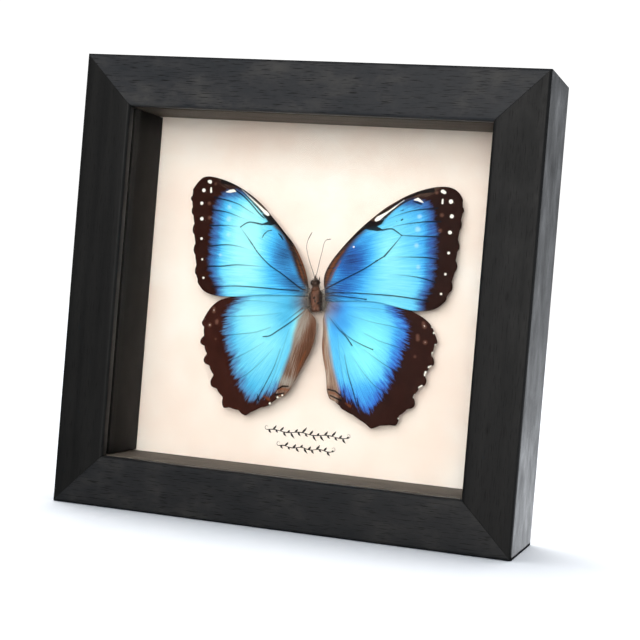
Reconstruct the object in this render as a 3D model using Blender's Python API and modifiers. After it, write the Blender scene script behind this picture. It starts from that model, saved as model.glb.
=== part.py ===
"""A set blue butterfly in a glazed black wooden box frame.

Metres, +Z up. The glass faces -Y, and the origin is the middle of the footprint, on the surface the frame
stands on. The frame is four mitred, rabbeted rails. From the front, its rabbet holds the glass, four strips
that line the sides, the mount card with the specimen, and a hardboard back, which bent steel tabs hold in.
"""

import math

import bmesh
import bpy
from mathutils import Matrix, Vector

MM = 0.001
GAP = 0.3 * MM                  # clearance between pieces that touch

# Frame
WIDTH = 180 * MM
HEIGHT = 174 * MM
DEPTH = 44 * MM
FACE = 19.5 * MM                # width of a rail seen from the front
RABBET = 5 * MM                 # how far the lip reaches over the glass
LIP = 4 * MM                    # thickness of that lip
ARRIS = 0.8 * MM                # rounding of the rails' long edges
MITRE_GAP = GAP / math.sqrt(2)  # GAP measured along the rail

# What the rabbet holds, front to back
GLASS = 2 * MM
BOARD_FRONT = 33 * MM           # depth of the mount card's face behind the frame's face
BOARD = 3 * MM
BACKING = 3 * MM
PANEL_PLAY = 0.5 * MM           # clearance round the glass and the boards

# Back fittings
TAB_LENGTH = 14 * MM
TAB_WIDTH = 9 * MM
TAB_GAUGE = 0.5 * MM
TAB_BITE = 5 * MM               # how far a tab is driven into the rail
TAB_SPREAD = 34 * MM            # from the middle of a side to each of its tabs
HANGER_LENGTH = 42 * MM
HANGER_HEIGHT = 9 * MM
HANGER_GAUGE = 0.8 * MM
HANGER_LIFT = 0.9 * MM          # how far its toothed middle stands off its ends
HANGER_TOOTH = 1.6 * MM
HANGER_PITCH = 2.4 * MM
HANGER_TEETH = 10
NAIL_REACH = 17.5 * MM          # from the hanger's middle to each nail
NAIL_RADIUS = 0.6 * MM
NAIL_HEAD_RADIUS = 1.6 * MM
NAIL_HEAD = 0.5 * MM
NAIL_LENGTH = 9 * MM
NAIL_POINT = 1.5 * MM
HANGER_PROUD = GAP + HANGER_GAUGE + HANGER_LIFT

# Specimen
SPECIMEN_X = 2.5 * MM           # the body's middle, from the middle of the frame
SPECIMEN_Z = 88 * MM            # the wing roots, above the frame's bottom
FORE_DEPTH = 25.2 * MM          # forewing roots behind the frame's face
HIND_DEPTH = 26.0 * MM
WING_GAUGE = 0.4 * MM
WING_SLOPE = math.radians(3)    # each wing falls back from root to tip
BODY_LEAN = math.radians(7)     # the body's head end leans to the left
ANTENNA_RADIUS = 0.2 * MM
BLOCK_WIDTH = 5 * MM            # the foam block that lifts the thorax off the card
BLOCK_HEIGHT = 7 * MM
BLOCK_DROP = 1.8 * MM           # from the wing roots down to the block's middle
BLOCK_FRONT = FORE_DEPTH + 3.2 * MM

FRONT_Y = -(DEPTH + HANGER_PROUD) / 2
CURVE_STEPS = 4                 # straight pieces between two points of a smooth outline
SCALLOP_STEPS = 8               # straight pieces in one scallop of a margin

# Wing outlines in mm: out from the body's middle, and up from the wing roots. costa runs from the root to
# the tip, tips are the vein ends on the outer margin, each with the dip of the scallop that follows it,
# and inner runs back to the root.
LEFT_FOREWING = {
    "costa": [(3.2, 2.5), (4.4, 7.2), (6.8, 12.6), (10.6, 18.6), (15.2, 23.4), (20.5, 28.7), (25.5, 33.5),
              (31.5, 37.6), (37.5, 40.6), (43.8, 42.6), (48.8, 43.3), (51.8, 42.6), (54.0, 40.4)],
    "tips": [(55.7, 37.8, 0.4), (56.3, 34.2, 0.6), (55.5, 29.1, 0.9), (54.4, 21.5, 0.9), (53.3, 13.8, 0.8),
             (51.9, 4.8, 0.4), (50.3, 0.9, 0)],
    "inner": [(47.5, -2.0), (43.5, -3.3), (38.0, -3.5), (31.5, -3.0), (23.0, -1.8), (12.0, -1.1), (3.2, -0.9)],
}
RIGHT_FOREWING = {
    "costa": [(3.4, 1.4), (2.7, 5.0), (2.9, 8.6), (4.9, 13.2), (8.0, 17.8), (12.0, 22.9), (16.5, 27.9),
              (23.4, 34.3), (27.4, 37.2), (32.0, 40.1), (37.2, 42.5), (42.0, 44.0), (46.2, 44.6),
              (49.6, 44.2), (52.2, 42.6)],
    "tips": [(53.8, 40.2, 0.4), (54.6, 36.2, 0.6), (54.1, 30.4, 0.9), (54.0, 22.3, 0.9), (53.8, 14.5, 0.9),
             (52.6, 6.2, 0.5), (50.4, 1.6, 0)],
    "inner": [(47.6, -1.0), (44.0, -2.5), (38.0, -2.9), (32.0, -2.1), (23.0, -0.8), (14.5, -1.1), (6.0, -2.1),
              (3.7, -2.0)],
}
LEFT_HINDWING = {
    "costa": [(3.4, -3.2), (5.0, -0.8), (12.0, 0.8), (22.0, 0.6), (31.0, -1.8), (37.2, -3.9), (41.2, -5.6),
              (44.6, -9.0)],
    "tips": [(47.5, -14.4, 1.0), (47.5, -22.4, 1.3), (45.3, -29.8, 1.4), (41.4, -38.4, 1.1), (35.2, -47.2, 0.7),
             (25.6, -49.4, 0.4), (15.6, -44.2, 0.5), (9.6, -39.9, 0)],
    "inner": [(7.8, -37.4), (5.4, -32.5), (3.0, -27.2), (0.5, -21.6), (-0.7, -17.0), (-0.9, -12.6),
              (-0.4, -9.4), (1.6, -7.2), (3.1, -5.4)],
}
RIGHT_HINDWING = {
    "costa": [(4.2, -4.0), (6.0, -0.6), (13.0, 0.6), (23.0, 1.0), (32.0, -0.4), (38.5, -3.4), (43.2, -5.8),
              (46.2, -8.8)],
    "tips": [(48.5, -13.8, 1.0), (47.9, -22.3, 1.3), (45.4, -29.6, 1.3), (41.5, -39.0, 0.9), (35.2, -46.9, 0.6),
             (25.7, -49.1, 0.4), (13.8, -42.8, 0.4), (8.4, -39.2, 0)],
    "inner": [(7.2, -36.6), (6.7, -33.0), (6.0, -29.0), (4.6, -24.0), (3.8, -19.5), (3.7, -14.5), (3.5, -11.5),
              (3.3, -9.0), (3.7, -6.4)],
}

# Antennae in mm: right of the body's middle, up from the wing roots. They rise towards the glass.
LEFT_ANTENNA = [(-1.0, 7.3), (-1.6, 9.1), (-2.7, 11.8), (-3.8, 14.9), (-4.5, 18.0), (-4.1, 20.7), (-2.6, 23.8)]
RIGHT_ANTENNA = [(-0.1, 7.4), (0.3, 9.4), (1.0, 13.4), (1.8, 17.0), (2.3, 19.7), (3.2, 21.2), (5.1, 21.7)]
ANTENNA_DEPTHS = (24.3 * MM, 22.0 * MM)


def clear_scene():
    for item in list(bpy.data.objects):
        bpy.data.objects.remove(item, do_unlink=True)


def new_collection(name):
    collection = bpy.data.collections.new(name)
    bpy.context.scene.collection.children.link(collection)
    return collection


def finish(name, colour, roughness, metallic=0.0):
    """A Principled material; colour is linear red, green and blue."""
    made = bpy.data.materials.new(name)
    made.use_nodes = True
    shader = made.node_tree.nodes["Principled BSDF"]
    shader.inputs["Base Color"].default_value = (*colour, 1)
    shader.inputs["Roughness"].default_value = roughness
    shader.inputs["Metallic"].default_value = metallic
    return made


def add_mesh(name, made, look, collection):
    mesh = bpy.data.meshes.new(name)
    made.to_mesh(mesh)
    made.free()
    item = bpy.data.objects.new(name, mesh)
    if look:
        mesh.materials.append(look)
    collection.objects.link(item)
    return item


def add_box(name, low, high, look, collection):
    """A plain box between two corners."""
    low, high = Vector(low), Vector(high)
    made = bmesh.new()
    place = Matrix.Translation((low + high) / 2) @ Matrix.Diagonal((*(high - low), 1))
    bmesh.ops.create_cube(made, size=1, matrix=place)
    return add_mesh(name, made, look, collection)


def add_cutter(made, name):
    cutter = add_mesh(name, made, None, cutters)
    cutter.hide_render = True
    cutter.display_type = "WIRE"
    return cutter


def cut(item, cutter):
    boolean = item.modifiers.new(cutter.name, "BOOLEAN")
    boolean.operation = "DIFFERENCE"
    boolean.solver = "EXACT"
    boolean.object = cutter


def deep(distance):
    """The Y of a point that lies this far behind the frame's face."""
    return FRONT_Y + distance


def rounded(corner, before, after, radius, steps=3):
    """Points of an arc that rounds a square corner between two neighbouring corners."""
    corner, before, after = Vector(corner), Vector(before), Vector(after)
    start = (before - corner).normalized()
    end = (after - corner).normalized()
    centre = corner + (start + end) * radius
    points = []
    for step in range(steps + 1):
        angle = math.pi / 2 * step / steps
        points.append(centre - end * radius * math.cos(angle) - start * radius * math.sin(angle))
    return points


def rail_profile():
    """The rail's section: how far in from the outer side, and how far back from the face."""
    outer_front, inner_front = (0, 0), (FACE, 0)
    outer_back, inner_back = (0, DEPTH), (FACE - RABBET, DEPTH)
    lip_back = (FACE, LIP)
    points = rounded(outer_front, outer_back, inner_front, ARRIS)
    points += rounded(inner_front, outer_front, lip_back, ARRIS)
    points += [Vector(lip_back), Vector((FACE - RABBET, LIP)), Vector(inner_back)]
    points += rounded(outer_back, inner_back, outer_front, ARRIS)
    return points


def add_rail(name, length, reach, turn):
    """A rail of the given outer length, mitred at both ends, reach below the frame's middle, then turned."""
    made = bmesh.new()
    ring = []
    for inward, back in rail_profile():
        left_end = -(length / 2 - inward - MITRE_GAP)
        ring.append(made.verts.new((left_end, deep(back), inward - reach)))
    end = made.faces.new(ring)
    grown = bmesh.ops.extrude_face_region(made, geom=[end])["geom"]
    for vert in grown:
        if isinstance(vert, bmesh.types.BMVert):
            vert.co.x = -vert.co.x
    bmesh.ops.recalc_face_normals(made, faces=made.faces)
    place = Matrix.Translation((0, 0, HEIGHT / 2)) @ Matrix.Rotation(turn, 4, "Y")
    bmesh.ops.transform(made, matrix=place, verts=made.verts)
    return add_mesh(name, made, wood, parts)


def sides():
    """Each side of the frame: its name, outer length, reach from the middle, and turn about the depth."""
    return [
        ("bottom", WIDTH, HEIGHT / 2, 0),
        ("left", HEIGHT, WIDTH / 2, math.radians(90)),
        ("top", WIDTH, HEIGHT / 2, math.radians(180)),
        ("right", HEIGHT, WIDTH / 2, math.radians(-90)),
    ]


def add_panel(name, front, gauge, look):
    """A sheet that fills the rabbet, front and gauge measured back from the frame's face."""
    across = WIDTH / 2 - FACE + RABBET - PANEL_PLAY
    low_z = FACE - RABBET + PANEL_PLAY
    low = (-across, deep(front), low_z)
    high = (across, deep(front + gauge), HEIGHT - low_z)
    return add_box(name, low, high, look, parts)


def add_spacers():
    """Strips that line the rabbet between glass and card. The side strips stand between the other two."""
    front = deep(LIP + GLASS + 2 * GAP)
    back = deep(BOARD_FRONT - GAP)
    wall_x = WIDTH / 2 - FACE + RABBET - GAP
    wall_z = FACE - RABBET + GAP
    inner_x = WIDTH / 2 - FACE
    inner_z = FACE
    add_box("spacer_bottom", (-wall_x, front, wall_z), (wall_x, back, inner_z), lining, parts)
    add_box("spacer_top", (-wall_x, front, HEIGHT - inner_z), (wall_x, back, HEIGHT - wall_z), lining, parts)
    low, high = inner_z + GAP, HEIGHT - inner_z - GAP
    add_box("spacer_left", (-wall_x, front, low), (-inner_x, back, high), lining, parts)
    add_box("spacer_right", (inner_x, front, low), (wall_x, back, high), lining, parts)


def add_tabs(rails):
    """Two steel tabs a side, each driven into a slot in the rail and lying over the back."""
    rest = BOARD_FRONT + BOARD + BACKING + 3 * GAP
    slot_play = Vector((GAP, GAP, GAP))
    for side, _, reach, turn in sides():
        place = Matrix.Translation((0, 0, HEIGHT / 2)) @ Matrix.Rotation(turn, 4, "Y")
        slots = bmesh.new()
        for number, middle in ((1, -TAB_SPREAD), (2, TAB_SPREAD)):
            wall = FACE - RABBET - reach
            low = Vector((middle - TAB_LENGTH / 2, deep(rest), wall - TAB_BITE))
            high = Vector((middle + TAB_LENGTH / 2, deep(rest + TAB_GAUGE), wall - TAB_BITE + TAB_WIDTH))
            tab = add_box(f"tab_{side}_{number}", low, high, steel, parts)
            tab.data.transform(place)
            slot_low = low - slot_play
            slot_high = Vector((high.x, high.y, wall + TAB_BITE)) + slot_play
            size = slot_high - slot_low
            spot = Matrix.Translation((slot_low + slot_high) / 2) @ Matrix.Diagonal((*size, 1))
            bmesh.ops.create_cube(slots, size=1, matrix=spot)
        bmesh.ops.transform(slots, matrix=place, verts=slots.verts)
        cut(rails[side], add_cutter(slots, f"slots_{side}"))


def add_hanger(rail):
    """A sawtooth hanger nailed to the top rail: flat ends, and a toothed middle that stands off the wood."""
    top = HEIGHT - (FACE - RABBET) / 2 + HANGER_HEIGHT / 2
    flat_y = deep(DEPTH + GAP)
    toothed = HANGER_TEETH * HANGER_PITCH / 2
    columns = [(-HANGER_LENGTH / 2, 0, 0), (-toothed - HANGER_PITCH / 2, 0, 0)]
    for step in range(2 * HANGER_TEETH + 1):
        notch = HANGER_TOOTH if step % 2 else 0
        columns.append((-toothed + step * HANGER_PITCH / 2, notch, HANGER_LIFT))
    columns += [(-x, 0, 0) for x, _, _ in reversed(columns[:2])]
    made = bmesh.new()
    edges = [
        (made.verts.new((x, flat_y + lift, top - HANGER_HEIGHT + notch)), made.verts.new((x, flat_y + lift, top)))
        for x, notch, lift in columns
    ]
    for (low, high), (next_low, next_high) in zip(edges, edges[1:]):
        made.faces.new((low, high, next_high, next_low))
    hanger = add_mesh("sawtooth_hanger", made, steel, parts)
    shell = hanger.modifiers.new("gauge", "SOLIDIFY")
    shell.thickness = HANGER_GAUGE
    shell.offset = 1
    nail_z = top - HANGER_HEIGHT / 2
    hole_radius = NAIL_RADIUS + GAP
    holes = bmesh.new()
    for side in (-1, 1):
        spot = Matrix.Translation((side * NAIL_REACH, deep(DEPTH), nail_z))
        bmesh.ops.create_cone(
            holes,
            cap_ends=True,
            segments=16,
            radius1=hole_radius,
            radius2=hole_radius,
            depth=2 * (NAIL_LENGTH + GAP),
            matrix=spot @ Matrix.Rotation(math.radians(90), 4, "X"),
        )
    cutter = add_cutter(holes, "nail_holes")
    cut(hanger, cutter)
    cut(rail, cutter)
    for name, side in (("left", -1), ("right", 1)):
        add_nail(f"hanger_nail_{name}", side * NAIL_REACH, nail_z)


def add_nail(name, x, z):
    """A round-headed nail, its point in the rail: a profile turned about the depth."""
    head_back = deep(DEPTH + 2 * GAP + HANGER_GAUGE + NAIL_HEAD)
    profile = [(0, 0), (NAIL_HEAD_RADIUS, 0), (NAIL_HEAD_RADIUS, -NAIL_HEAD), (NAIL_RADIUS, -NAIL_HEAD),
               (NAIL_RADIUS, NAIL_POINT - NAIL_LENGTH), (0, -NAIL_LENGTH)]
    made = bmesh.new()
    line = [made.verts.new((radius, 0, height)) for radius, height in profile]
    for start, end in zip(line, line[1:]):
        made.edges.new((start, end))
    nail = add_mesh(name, made, steel, parts)
    nail.location = (x, head_back, z)
    nail.rotation_euler = (math.radians(-90), 0, 0)
    screw = nail.modifiers.new("turn", "SCREW")
    screw.steps = screw.render_steps = 16
    screw.use_merge_vertices = True
    screw.merge_threshold = 0.00001


def smooth(points, steps=CURVE_STEPS):
    """A smooth line through every point."""
    points = [Vector(point) for point in points]
    padded = [points[0]] + points + [points[-1]]
    line = []
    for a, b, c, d in zip(padded, padded[1:], padded[2:], padded[3:]):
        for step in range(steps):
            t = step / steps
            line.append(b + t * (c - a) / 2 + t ** 2 * (a - 2.5 * b + 2 * c - d / 2)
                        + t ** 3 * (3 * b - a - 3 * c + d) / 2)
    return line + [points[-1]]


def scalloped(tips):
    """The outer margin: it dips in between each vein end and the next."""
    line = []
    for (x, z, dip), (next_x, next_z, _) in zip(tips, tips[1:]):
        start, end = Vector((x, z)), Vector((next_x, next_z))
        along = (end - start).normalized()
        inward = Vector((along.y, -along.x))
        for step in range(SCALLOP_STEPS):
            t = step / SCALLOP_STEPS
            line.append(start.lerp(end, t) + inward * dip * (1 - math.cos(2 * math.pi * t)) / 2)
    return line


def add_wing(name, shape, side, depth):
    """A thin plate with the wing's outline, sloping back from root to tip. side is -1 left, 1 right."""
    first_tip, last_tip = shape["tips"][0][:2], shape["tips"][-1][:2]
    outline = smooth(shape["costa"] + [first_tip])[:-1]
    outline += scalloped(shape["tips"])
    outline += smooth([last_tip] + shape["inner"])
    curve = bpy.data.curves.new(name, "CURVE")
    curve.dimensions = "2D"
    curve.fill_mode = "BOTH"
    curve.extrude = WING_GAUGE / 2
    spline = curve.splines.new("POLY")
    spline.points.add(len(outline) - 1)
    for point, (out, up) in zip(spline.points, outline):
        point.co = (side * out * MM, up * MM, 0, 1)
    spline.use_cyclic_u = True
    curve.materials.append(wings)
    wing = bpy.data.objects.new(name, curve)
    wing.rotation_euler = (math.radians(90), 0, side * WING_SLOPE)
    wing.location = (SPECIMEN_X, deep(depth), SPECIMEN_Z)
    parts.objects.link(wing)
    return wing


def add_antenna(name, route):
    """A thin feeler from the head, rising towards the glass."""
    base_depth, tip_depth = ANTENNA_DEPTHS
    line = smooth(route)
    curve = bpy.data.curves.new(name, "CURVE")
    curve.dimensions = "3D"
    curve.bevel_depth = ANTENNA_RADIUS
    curve.bevel_resolution = 1
    curve.use_fill_caps = True
    spline = curve.splines.new("POLY")
    spline.points.add(len(line) - 1)
    for step, (point, (x, z)) in enumerate(zip(spline.points, line)):
        depth = base_depth + (tip_depth - base_depth) * step / (len(line) - 1)
        point.co = (SPECIMEN_X + x * MM, deep(depth), SPECIMEN_Z + z * MM, 1)
    curve.materials.append(chitin)
    antenna = bpy.data.objects.new(name, curve)
    parts.objects.link(antenna)
    return antenna


def add_body():
    """Head and thorax in one, from rounded lumps that are joined. Sizes are mm, in the leaning body's frame."""
    lumps = {
        "thorax": ((0, -1.8, 0), (2.75, 4.6, 2.9)),
        "head": ((0, 4.6, 0), (1.7, 2.0, 1.6)),
        "left_eye": ((-1.25, 5.0, -0.3), (0.8, 1.1, 1.0)),
        "right_eye": ((1.25, 5.0, -0.3), (0.8, 1.1, 1.0)),
    }
    lean = Matrix.Translation((SPECIMEN_X, deep(FORE_DEPTH), SPECIMEN_Z)) @ Matrix.Rotation(-BODY_LEAN, 4, "Y")
    items = []
    for name, ((x, z, back), (half_x, half_z, half_y)) in lumps.items():
        place = lean @ Matrix.Translation((x * MM, back * MM, z * MM))
        place = place @ Matrix.Diagonal((half_x * MM, half_y * MM, half_z * MM, 1))
        made = bmesh.new()
        bmesh.ops.create_uvsphere(made, u_segments=16, v_segments=10, radius=1, matrix=place)
        if items:
            items.append(add_cutter(made, name))
        else:
            items.append(add_mesh("butterfly_body", made, chitin, parts))
    body = items[0]
    for lump in items[1:]:
        union = body.modifiers.new(lump.name, "BOOLEAN")
        union.operation = "UNION"
        union.solver = "EXACT"
        union.object = lump
    return body


clear_scene()
parts = new_collection("framed_butterfly")
cutters = new_collection("cutters")

wood = finish("black stained wood", (0.022, 0.022, 0.024), 0.55)
lining = finish("black card lining", (0.014, 0.014, 0.015), 0.7)
pane = finish("float glass", (0.9, 0.95, 0.93), 0.02)
card = finish("cream mount card", (0.93, 0.85, 0.78), 0.8)
hardboard = finish("hardboard", (0.25, 0.14, 0.07), 0.75)
steel = finish("zinc plated steel", (0.6, 0.6, 0.58), 0.35, 1.0)
foam = finish("white foam", (0.85, 0.85, 0.82), 0.9)
wings = finish("blue wing scales", (0.05, 0.35, 0.8), 0.4)
chitin = finish("brown chitin", (0.12, 0.06, 0.035), 0.6)

frame_rails = {side: add_rail(f"rail_{side}", length, reach, turn) for side, length, reach, turn in sides()}
add_panel("glass_pane", LIP + GAP, GLASS, pane)
add_spacers()
add_panel("mount_board", BOARD_FRONT, BOARD, card)
add_panel("backing_board", BOARD_FRONT + BOARD + GAP, BACKING, hardboard)
add_tabs(frame_rails)
add_hanger(frame_rails["top"])

block_low = SPECIMEN_Z - BLOCK_DROP - BLOCK_HEIGHT / 2
add_box(
    "support_block",
    (SPECIMEN_X - BLOCK_WIDTH / 2, deep(BLOCK_FRONT), block_low),
    (SPECIMEN_X + BLOCK_WIDTH / 2, deep(BOARD_FRONT - GAP), block_low + BLOCK_HEIGHT),
    foam,
    parts,
)
add_body()
add_antenna("antenna_left", LEFT_ANTENNA)
add_antenna("antenna_right", RIGHT_ANTENNA)
add_wing("forewing_left", LEFT_FOREWING, -1, FORE_DEPTH)
add_wing("forewing_right", RIGHT_FOREWING, 1, FORE_DEPTH)
add_wing("hindwing_left", LEFT_HINDWING, -1, HIND_DEPTH)
add_wing("hindwing_right", RIGHT_HINDWING, 1, HIND_DEPTH)
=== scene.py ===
"""A set blue butterfly in a glazed box frame of black stained wood. Metres, +Z up, glass towards -Y."""

import math

import bmesh
import bpy
import numpy as np
from mathutils import Matrix, Vector, noise
from mathutils.geometry import delaunay_2d_cdt


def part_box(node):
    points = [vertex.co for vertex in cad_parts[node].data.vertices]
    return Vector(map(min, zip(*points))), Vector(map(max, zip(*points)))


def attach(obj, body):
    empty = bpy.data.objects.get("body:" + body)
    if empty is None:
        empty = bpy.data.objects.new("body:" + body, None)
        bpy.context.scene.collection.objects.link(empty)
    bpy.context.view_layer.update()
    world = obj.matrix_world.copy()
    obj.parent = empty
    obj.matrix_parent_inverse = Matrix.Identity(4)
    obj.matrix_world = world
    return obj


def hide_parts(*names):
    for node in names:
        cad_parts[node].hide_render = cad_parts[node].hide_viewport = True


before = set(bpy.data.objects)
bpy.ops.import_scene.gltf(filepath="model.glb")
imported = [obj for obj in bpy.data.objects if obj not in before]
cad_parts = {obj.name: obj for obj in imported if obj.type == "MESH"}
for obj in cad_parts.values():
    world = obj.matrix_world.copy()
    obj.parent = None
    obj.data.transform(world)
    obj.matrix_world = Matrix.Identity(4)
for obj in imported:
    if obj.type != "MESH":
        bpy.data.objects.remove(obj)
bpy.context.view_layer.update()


# ---------------------------------------------------------------------------------------------------------
# Frame rails. Four lengths of close-grained hardwood, rebated behind a lip for the glass, mitred and glued.
# They are stained black, then sealed with one thin satin lacquer coat that leaves the pores open.

MM = 0.001
FACE_LIP = 4 * MM               # thickness of the lip in front of the glass
REBATE = 5 * MM                 # how far the lip reaches over the glass
ARRIS = 1.3 * MM                # long edges, rounded with fine paper
SAW_ARRIS = 0.25 * MM           # edges inside the rebate, barely broken
MITRE_SHUT = 0.01 * MM          # half of the hairline at a glued mitre
RAIL_STEP = 2.5 * MM            # spacing of the points on the faces
MITRE_EASE = [(0, 0.05), (0.06, 0.02), (0.15, 0.004), (0.4, 0)]     # mm from the mitre, mm below the face
HAND_SANDED = 0.03 * MM         # how uneven the faces are


def piece(name, mesh, finish, *nodes):
    """Links a finished mesh as a piece on the one body, in place of the nodes given."""
    made = bpy.data.objects.new(name, mesh)
    bpy.context.scene.collection.objects.link(made)
    mesh.materials.clear()
    mesh.materials.append(finish)
    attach(made, "root")
    if nodes:
        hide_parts(*nodes)
    return made


def smooth_faces(mesh, angle=35):
    """Smooth shading, with edges sharper than the angle left crisp."""
    mesh.shade_smooth()
    mesh.set_sharp_from_angle(angle=math.radians(angle))


def linear(colour):
    """A hex sRGB colour as linear red, green, blue and alpha."""
    parts = [int(colour[place:place + 2], 16) / 255 for place in (1, 3, 5)]
    return (*[part / 12.92 if part <= 0.04045 else ((part + 0.055) / 1.055) ** 2.4 for part in parts], 1)


def node(tree, kind, inputs=None, stops=None, **settings):
    """Adds a node. An input takes a value, or another node or socket to link. stops colour a ramp."""
    made = tree.nodes.new(kind)
    for name, value in settings.items():
        setattr(made, name, value)
    for key, value in (inputs or {}).items():
        if isinstance(key, str):
            socket = next(found for found in made.inputs if found.name == key and found.enabled)
        else:
            socket = made.inputs[key]
        if isinstance(value, bpy.types.Node):
            value = next(found for found in value.outputs if found.enabled)
        if isinstance(value, bpy.types.NodeSocket):
            tree.links.new(value, socket)
        else:
            socket.default_value = value
    for place, (position, colour) in enumerate(stops or []):
        elements = made.color_ramp.elements
        element = elements[place] if place < 2 else elements.new(position)
        element.position = position
        element.color = linear(colour) if isinstance(colour, str) else (colour, colour, colour, 1)
    return made


def surface(name, **values):
    """A new material with one Principled shader, and the values that are the same all over it."""
    made = bpy.data.materials.new(name)
    made.use_nodes = True
    tree = made.node_tree
    tree.nodes.clear()
    shader = node(tree, "ShaderNodeBsdfPrincipled",
                  {key.replace("_", " "): value for key, value in values.items()})
    node(tree, "ShaderNodeOutputMaterial", {"Surface": shader})
    return made, tree, shader


def wire(tree, shader, **finish):
    """Links what varies over a surface to its shader: each is a node, or the socket of one."""
    for key, source in finish.items():
        if isinstance(source, bpy.types.Node):
            source = next(found for found in source.outputs if found.enabled)
        tree.links.new(source, shader.inputs[key.replace("_", " ")])


def settled(made, name):
    """The mesh of a bmesh, which is then freed."""
    mesh = bpy.data.meshes.new(name)
    made.to_mesh(mesh)
    made.free()
    return mesh


def arc(corner, before, after, radius, steps=6):
    """A rounded corner: points from the side of the corner nearest before to the side nearest after."""
    corner = Vector(corner)
    start = (Vector(before) - corner).normalized()
    end = (Vector(after) - corner).normalized()
    centre = corner + (start + end) * radius
    return [centre - end * radius * math.cos(turn) - start * radius * math.sin(turn)
            for turn in (math.pi / 2 * step / steps for step in range(steps + 1))]


def rail_section(face, depth):
    """The rail's section: how far in from the outer side, and how far back from the face."""
    corners = [((0, 0), ARRIS), ((face, 0), ARRIS), ((face, FACE_LIP), SAW_ARRIS),
               ((face - REBATE, FACE_LIP), SAW_ARRIS), ((face - REBATE, depth), SAW_ARRIS), ((0, depth), ARRIS)]
    line = []
    for place, (corner, radius) in enumerate(corners):
        before = corners[place - 1][0]
        after = corners[(place + 1) % len(corners)][0]
        line += arc(corner, before, after, radius)
    ring = []
    for start, end in zip(line, line[1:] + line[:1]):
        steps = max(1, round((end - start).length / RAIL_STEP))
        ring += [start.lerp(end, step / steps) for step in range(steps)]
    return ring


def rail(name, side, length, reach, turn, number, wear_and_sheen):
    """A mitred rail of the given outer length, its outer side reach below the frame's middle, then turned.
    number tells its grain from the others', and wear_and_sheen, 0 to 1, is how far its lacquer goes to a cloudy
    slate grey: partly rubbing, and partly painted sheen that lightens the level rails."""
    low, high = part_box(name)
    face = min(high.x - low.x, high.z - low.z)
    depth = high.y - low.y
    ring = rail_section(face, depth)
    count = round(length / RAIL_STEP)
    made = bmesh.new()
    grain = made.loops.layers.uv.new("grain")
    rows = []
    stations = [(0, drop, shift * MM) for shift, drop in MITRE_EASE]
    stations += [(step / count, 0, 0) for step in range(1, count)]
    stations += [(1, drop, -shift * MM) for shift, drop in reversed(MITRE_EASE)]
    for share, drop, shift in stations:
        row = []
        for inward, back in ring:
            end = length / 2 - inward - MITRE_SHUT
            x = -end + 2 * end * share + shift
            # The easing sinks each point towards the wood's core.
            core_in = min(max(inward, face * 0.2), (face - REBATE) * 0.85)
            core_back = min(max(back, FACE_LIP * 0.5), depth * 0.9)
            inset = Vector((core_in - inward, core_back - back))
            if inset.length > 0:
                inset = inset.normalized() * drop * MM
            uneven = noise.noise(Vector((x * 45 + number * 7, inward * 90, back * 90))) * HAND_SANDED
            sunk = max(back + inset.y + abs(uneven), 0)
            row.append(made.verts.new((x, low.y + sunk, inward + inset.x - reach)))
        rows.append(row)
    around = [0.0]
    for start, end in zip(ring, ring[1:] + ring[:1]):
        around.append(around[-1] + (end - start).length)
    board = number * 0.37           # metres along the grain from which this rail is cut
    for row, after in zip(rows, rows[1:]):
        for place in range(len(ring)):
            follow = (place + 1) % len(ring)
            made_face = made.faces.new((row[place], after[place], after[follow], row[follow]))
            for loop, across in zip(made_face.loops, (place, place, place + 1, place + 1)):
                loop[grain].uv = (loop.vert.co.x + board, around[across])
    for row in (rows[0], rows[-1]):
        cap = made.faces.new(row)
        for loop in cap.loops:
            loop[grain].uv = (loop.vert.co.y + board, loop.vert.co.z)
    bmesh.ops.recalc_face_normals(made, faces=made.faces)
    middle = (frame_low.z + frame_high.z) / 2
    into_place = Matrix.Translation((0, 0, middle)) @ Matrix.Rotation(math.radians(turn), 4, "Y")
    bmesh.ops.transform(made, matrix=into_place, verts=made.verts)
    mesh = settled(made, f"{side}_rail")
    # The wear_and_sheen layer: rubbing and painted sheen, one amount for the whole rail.
    worn = mesh.attributes.new("wear_and_sheen", "FLOAT", "POINT")
    worn.data.foreach_set("value", [wear_and_sheen] * len(mesh.vertices))
    smooth_faces(mesh)
    piece(f"{side}_rail", mesh, stained_wood, name)


# Black stained beech under satin lacquer: charcoal, with short pores that stay darker and faint long bands
# of denser growth that take more stain. Handling rubs it to a cloudy slate grey. The same grey, given to each rail
# in its own amount, is also painted sheen: the top rail lightest, the bottom next and the uprights darkest.
stained_wood, tree, shader = surface("black stained beech, satin lacquer", IOR=1.5, Specular_IOR_Level=0.16)
along = node(tree, "ShaderNodeUVMap", uv_map="grain")
bands = node(tree, "ShaderNodeMapping", {"Vector": along, "Scale": (14, 300, 1)})       # 70 mm by 3.3 mm
bands = node(tree, "ShaderNodeTexNoise", {"Vector": bands, "Scale": 1, "Detail": 4, "Roughness": 0.6})
# 6 mm by 0.4 mm, coarser than beech has them, so that they show.
pores = node(tree, "ShaderNodeMapping", {"Vector": along, "Scale": (170, 2600, 1)})
pores = node(tree, "ShaderNodeTexNoise", {"Vector": pores, "Scale": 1, "Detail": 2, "Roughness": 0.5})
pores = node(tree, "ShaderNodeValToRGB", {"Fac": pores}, stops=[(0.56, 0.0), (0.7, 1.0)])
cloud = node(tree, "ShaderNodeMapping", {"Vector": along, "Scale": (55, 90, 1)})        # 18 mm handling marks
cloud = node(tree, "ShaderNodeTexNoise", {"Vector": cloud, "Scale": 1, "Detail": 5, "Roughness": 0.65})
fresh = node(tree, "ShaderNodeValToRGB", {"Fac": bands}, stops=[(0.3, "#101111"), (0.7, "#191918")])
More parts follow.
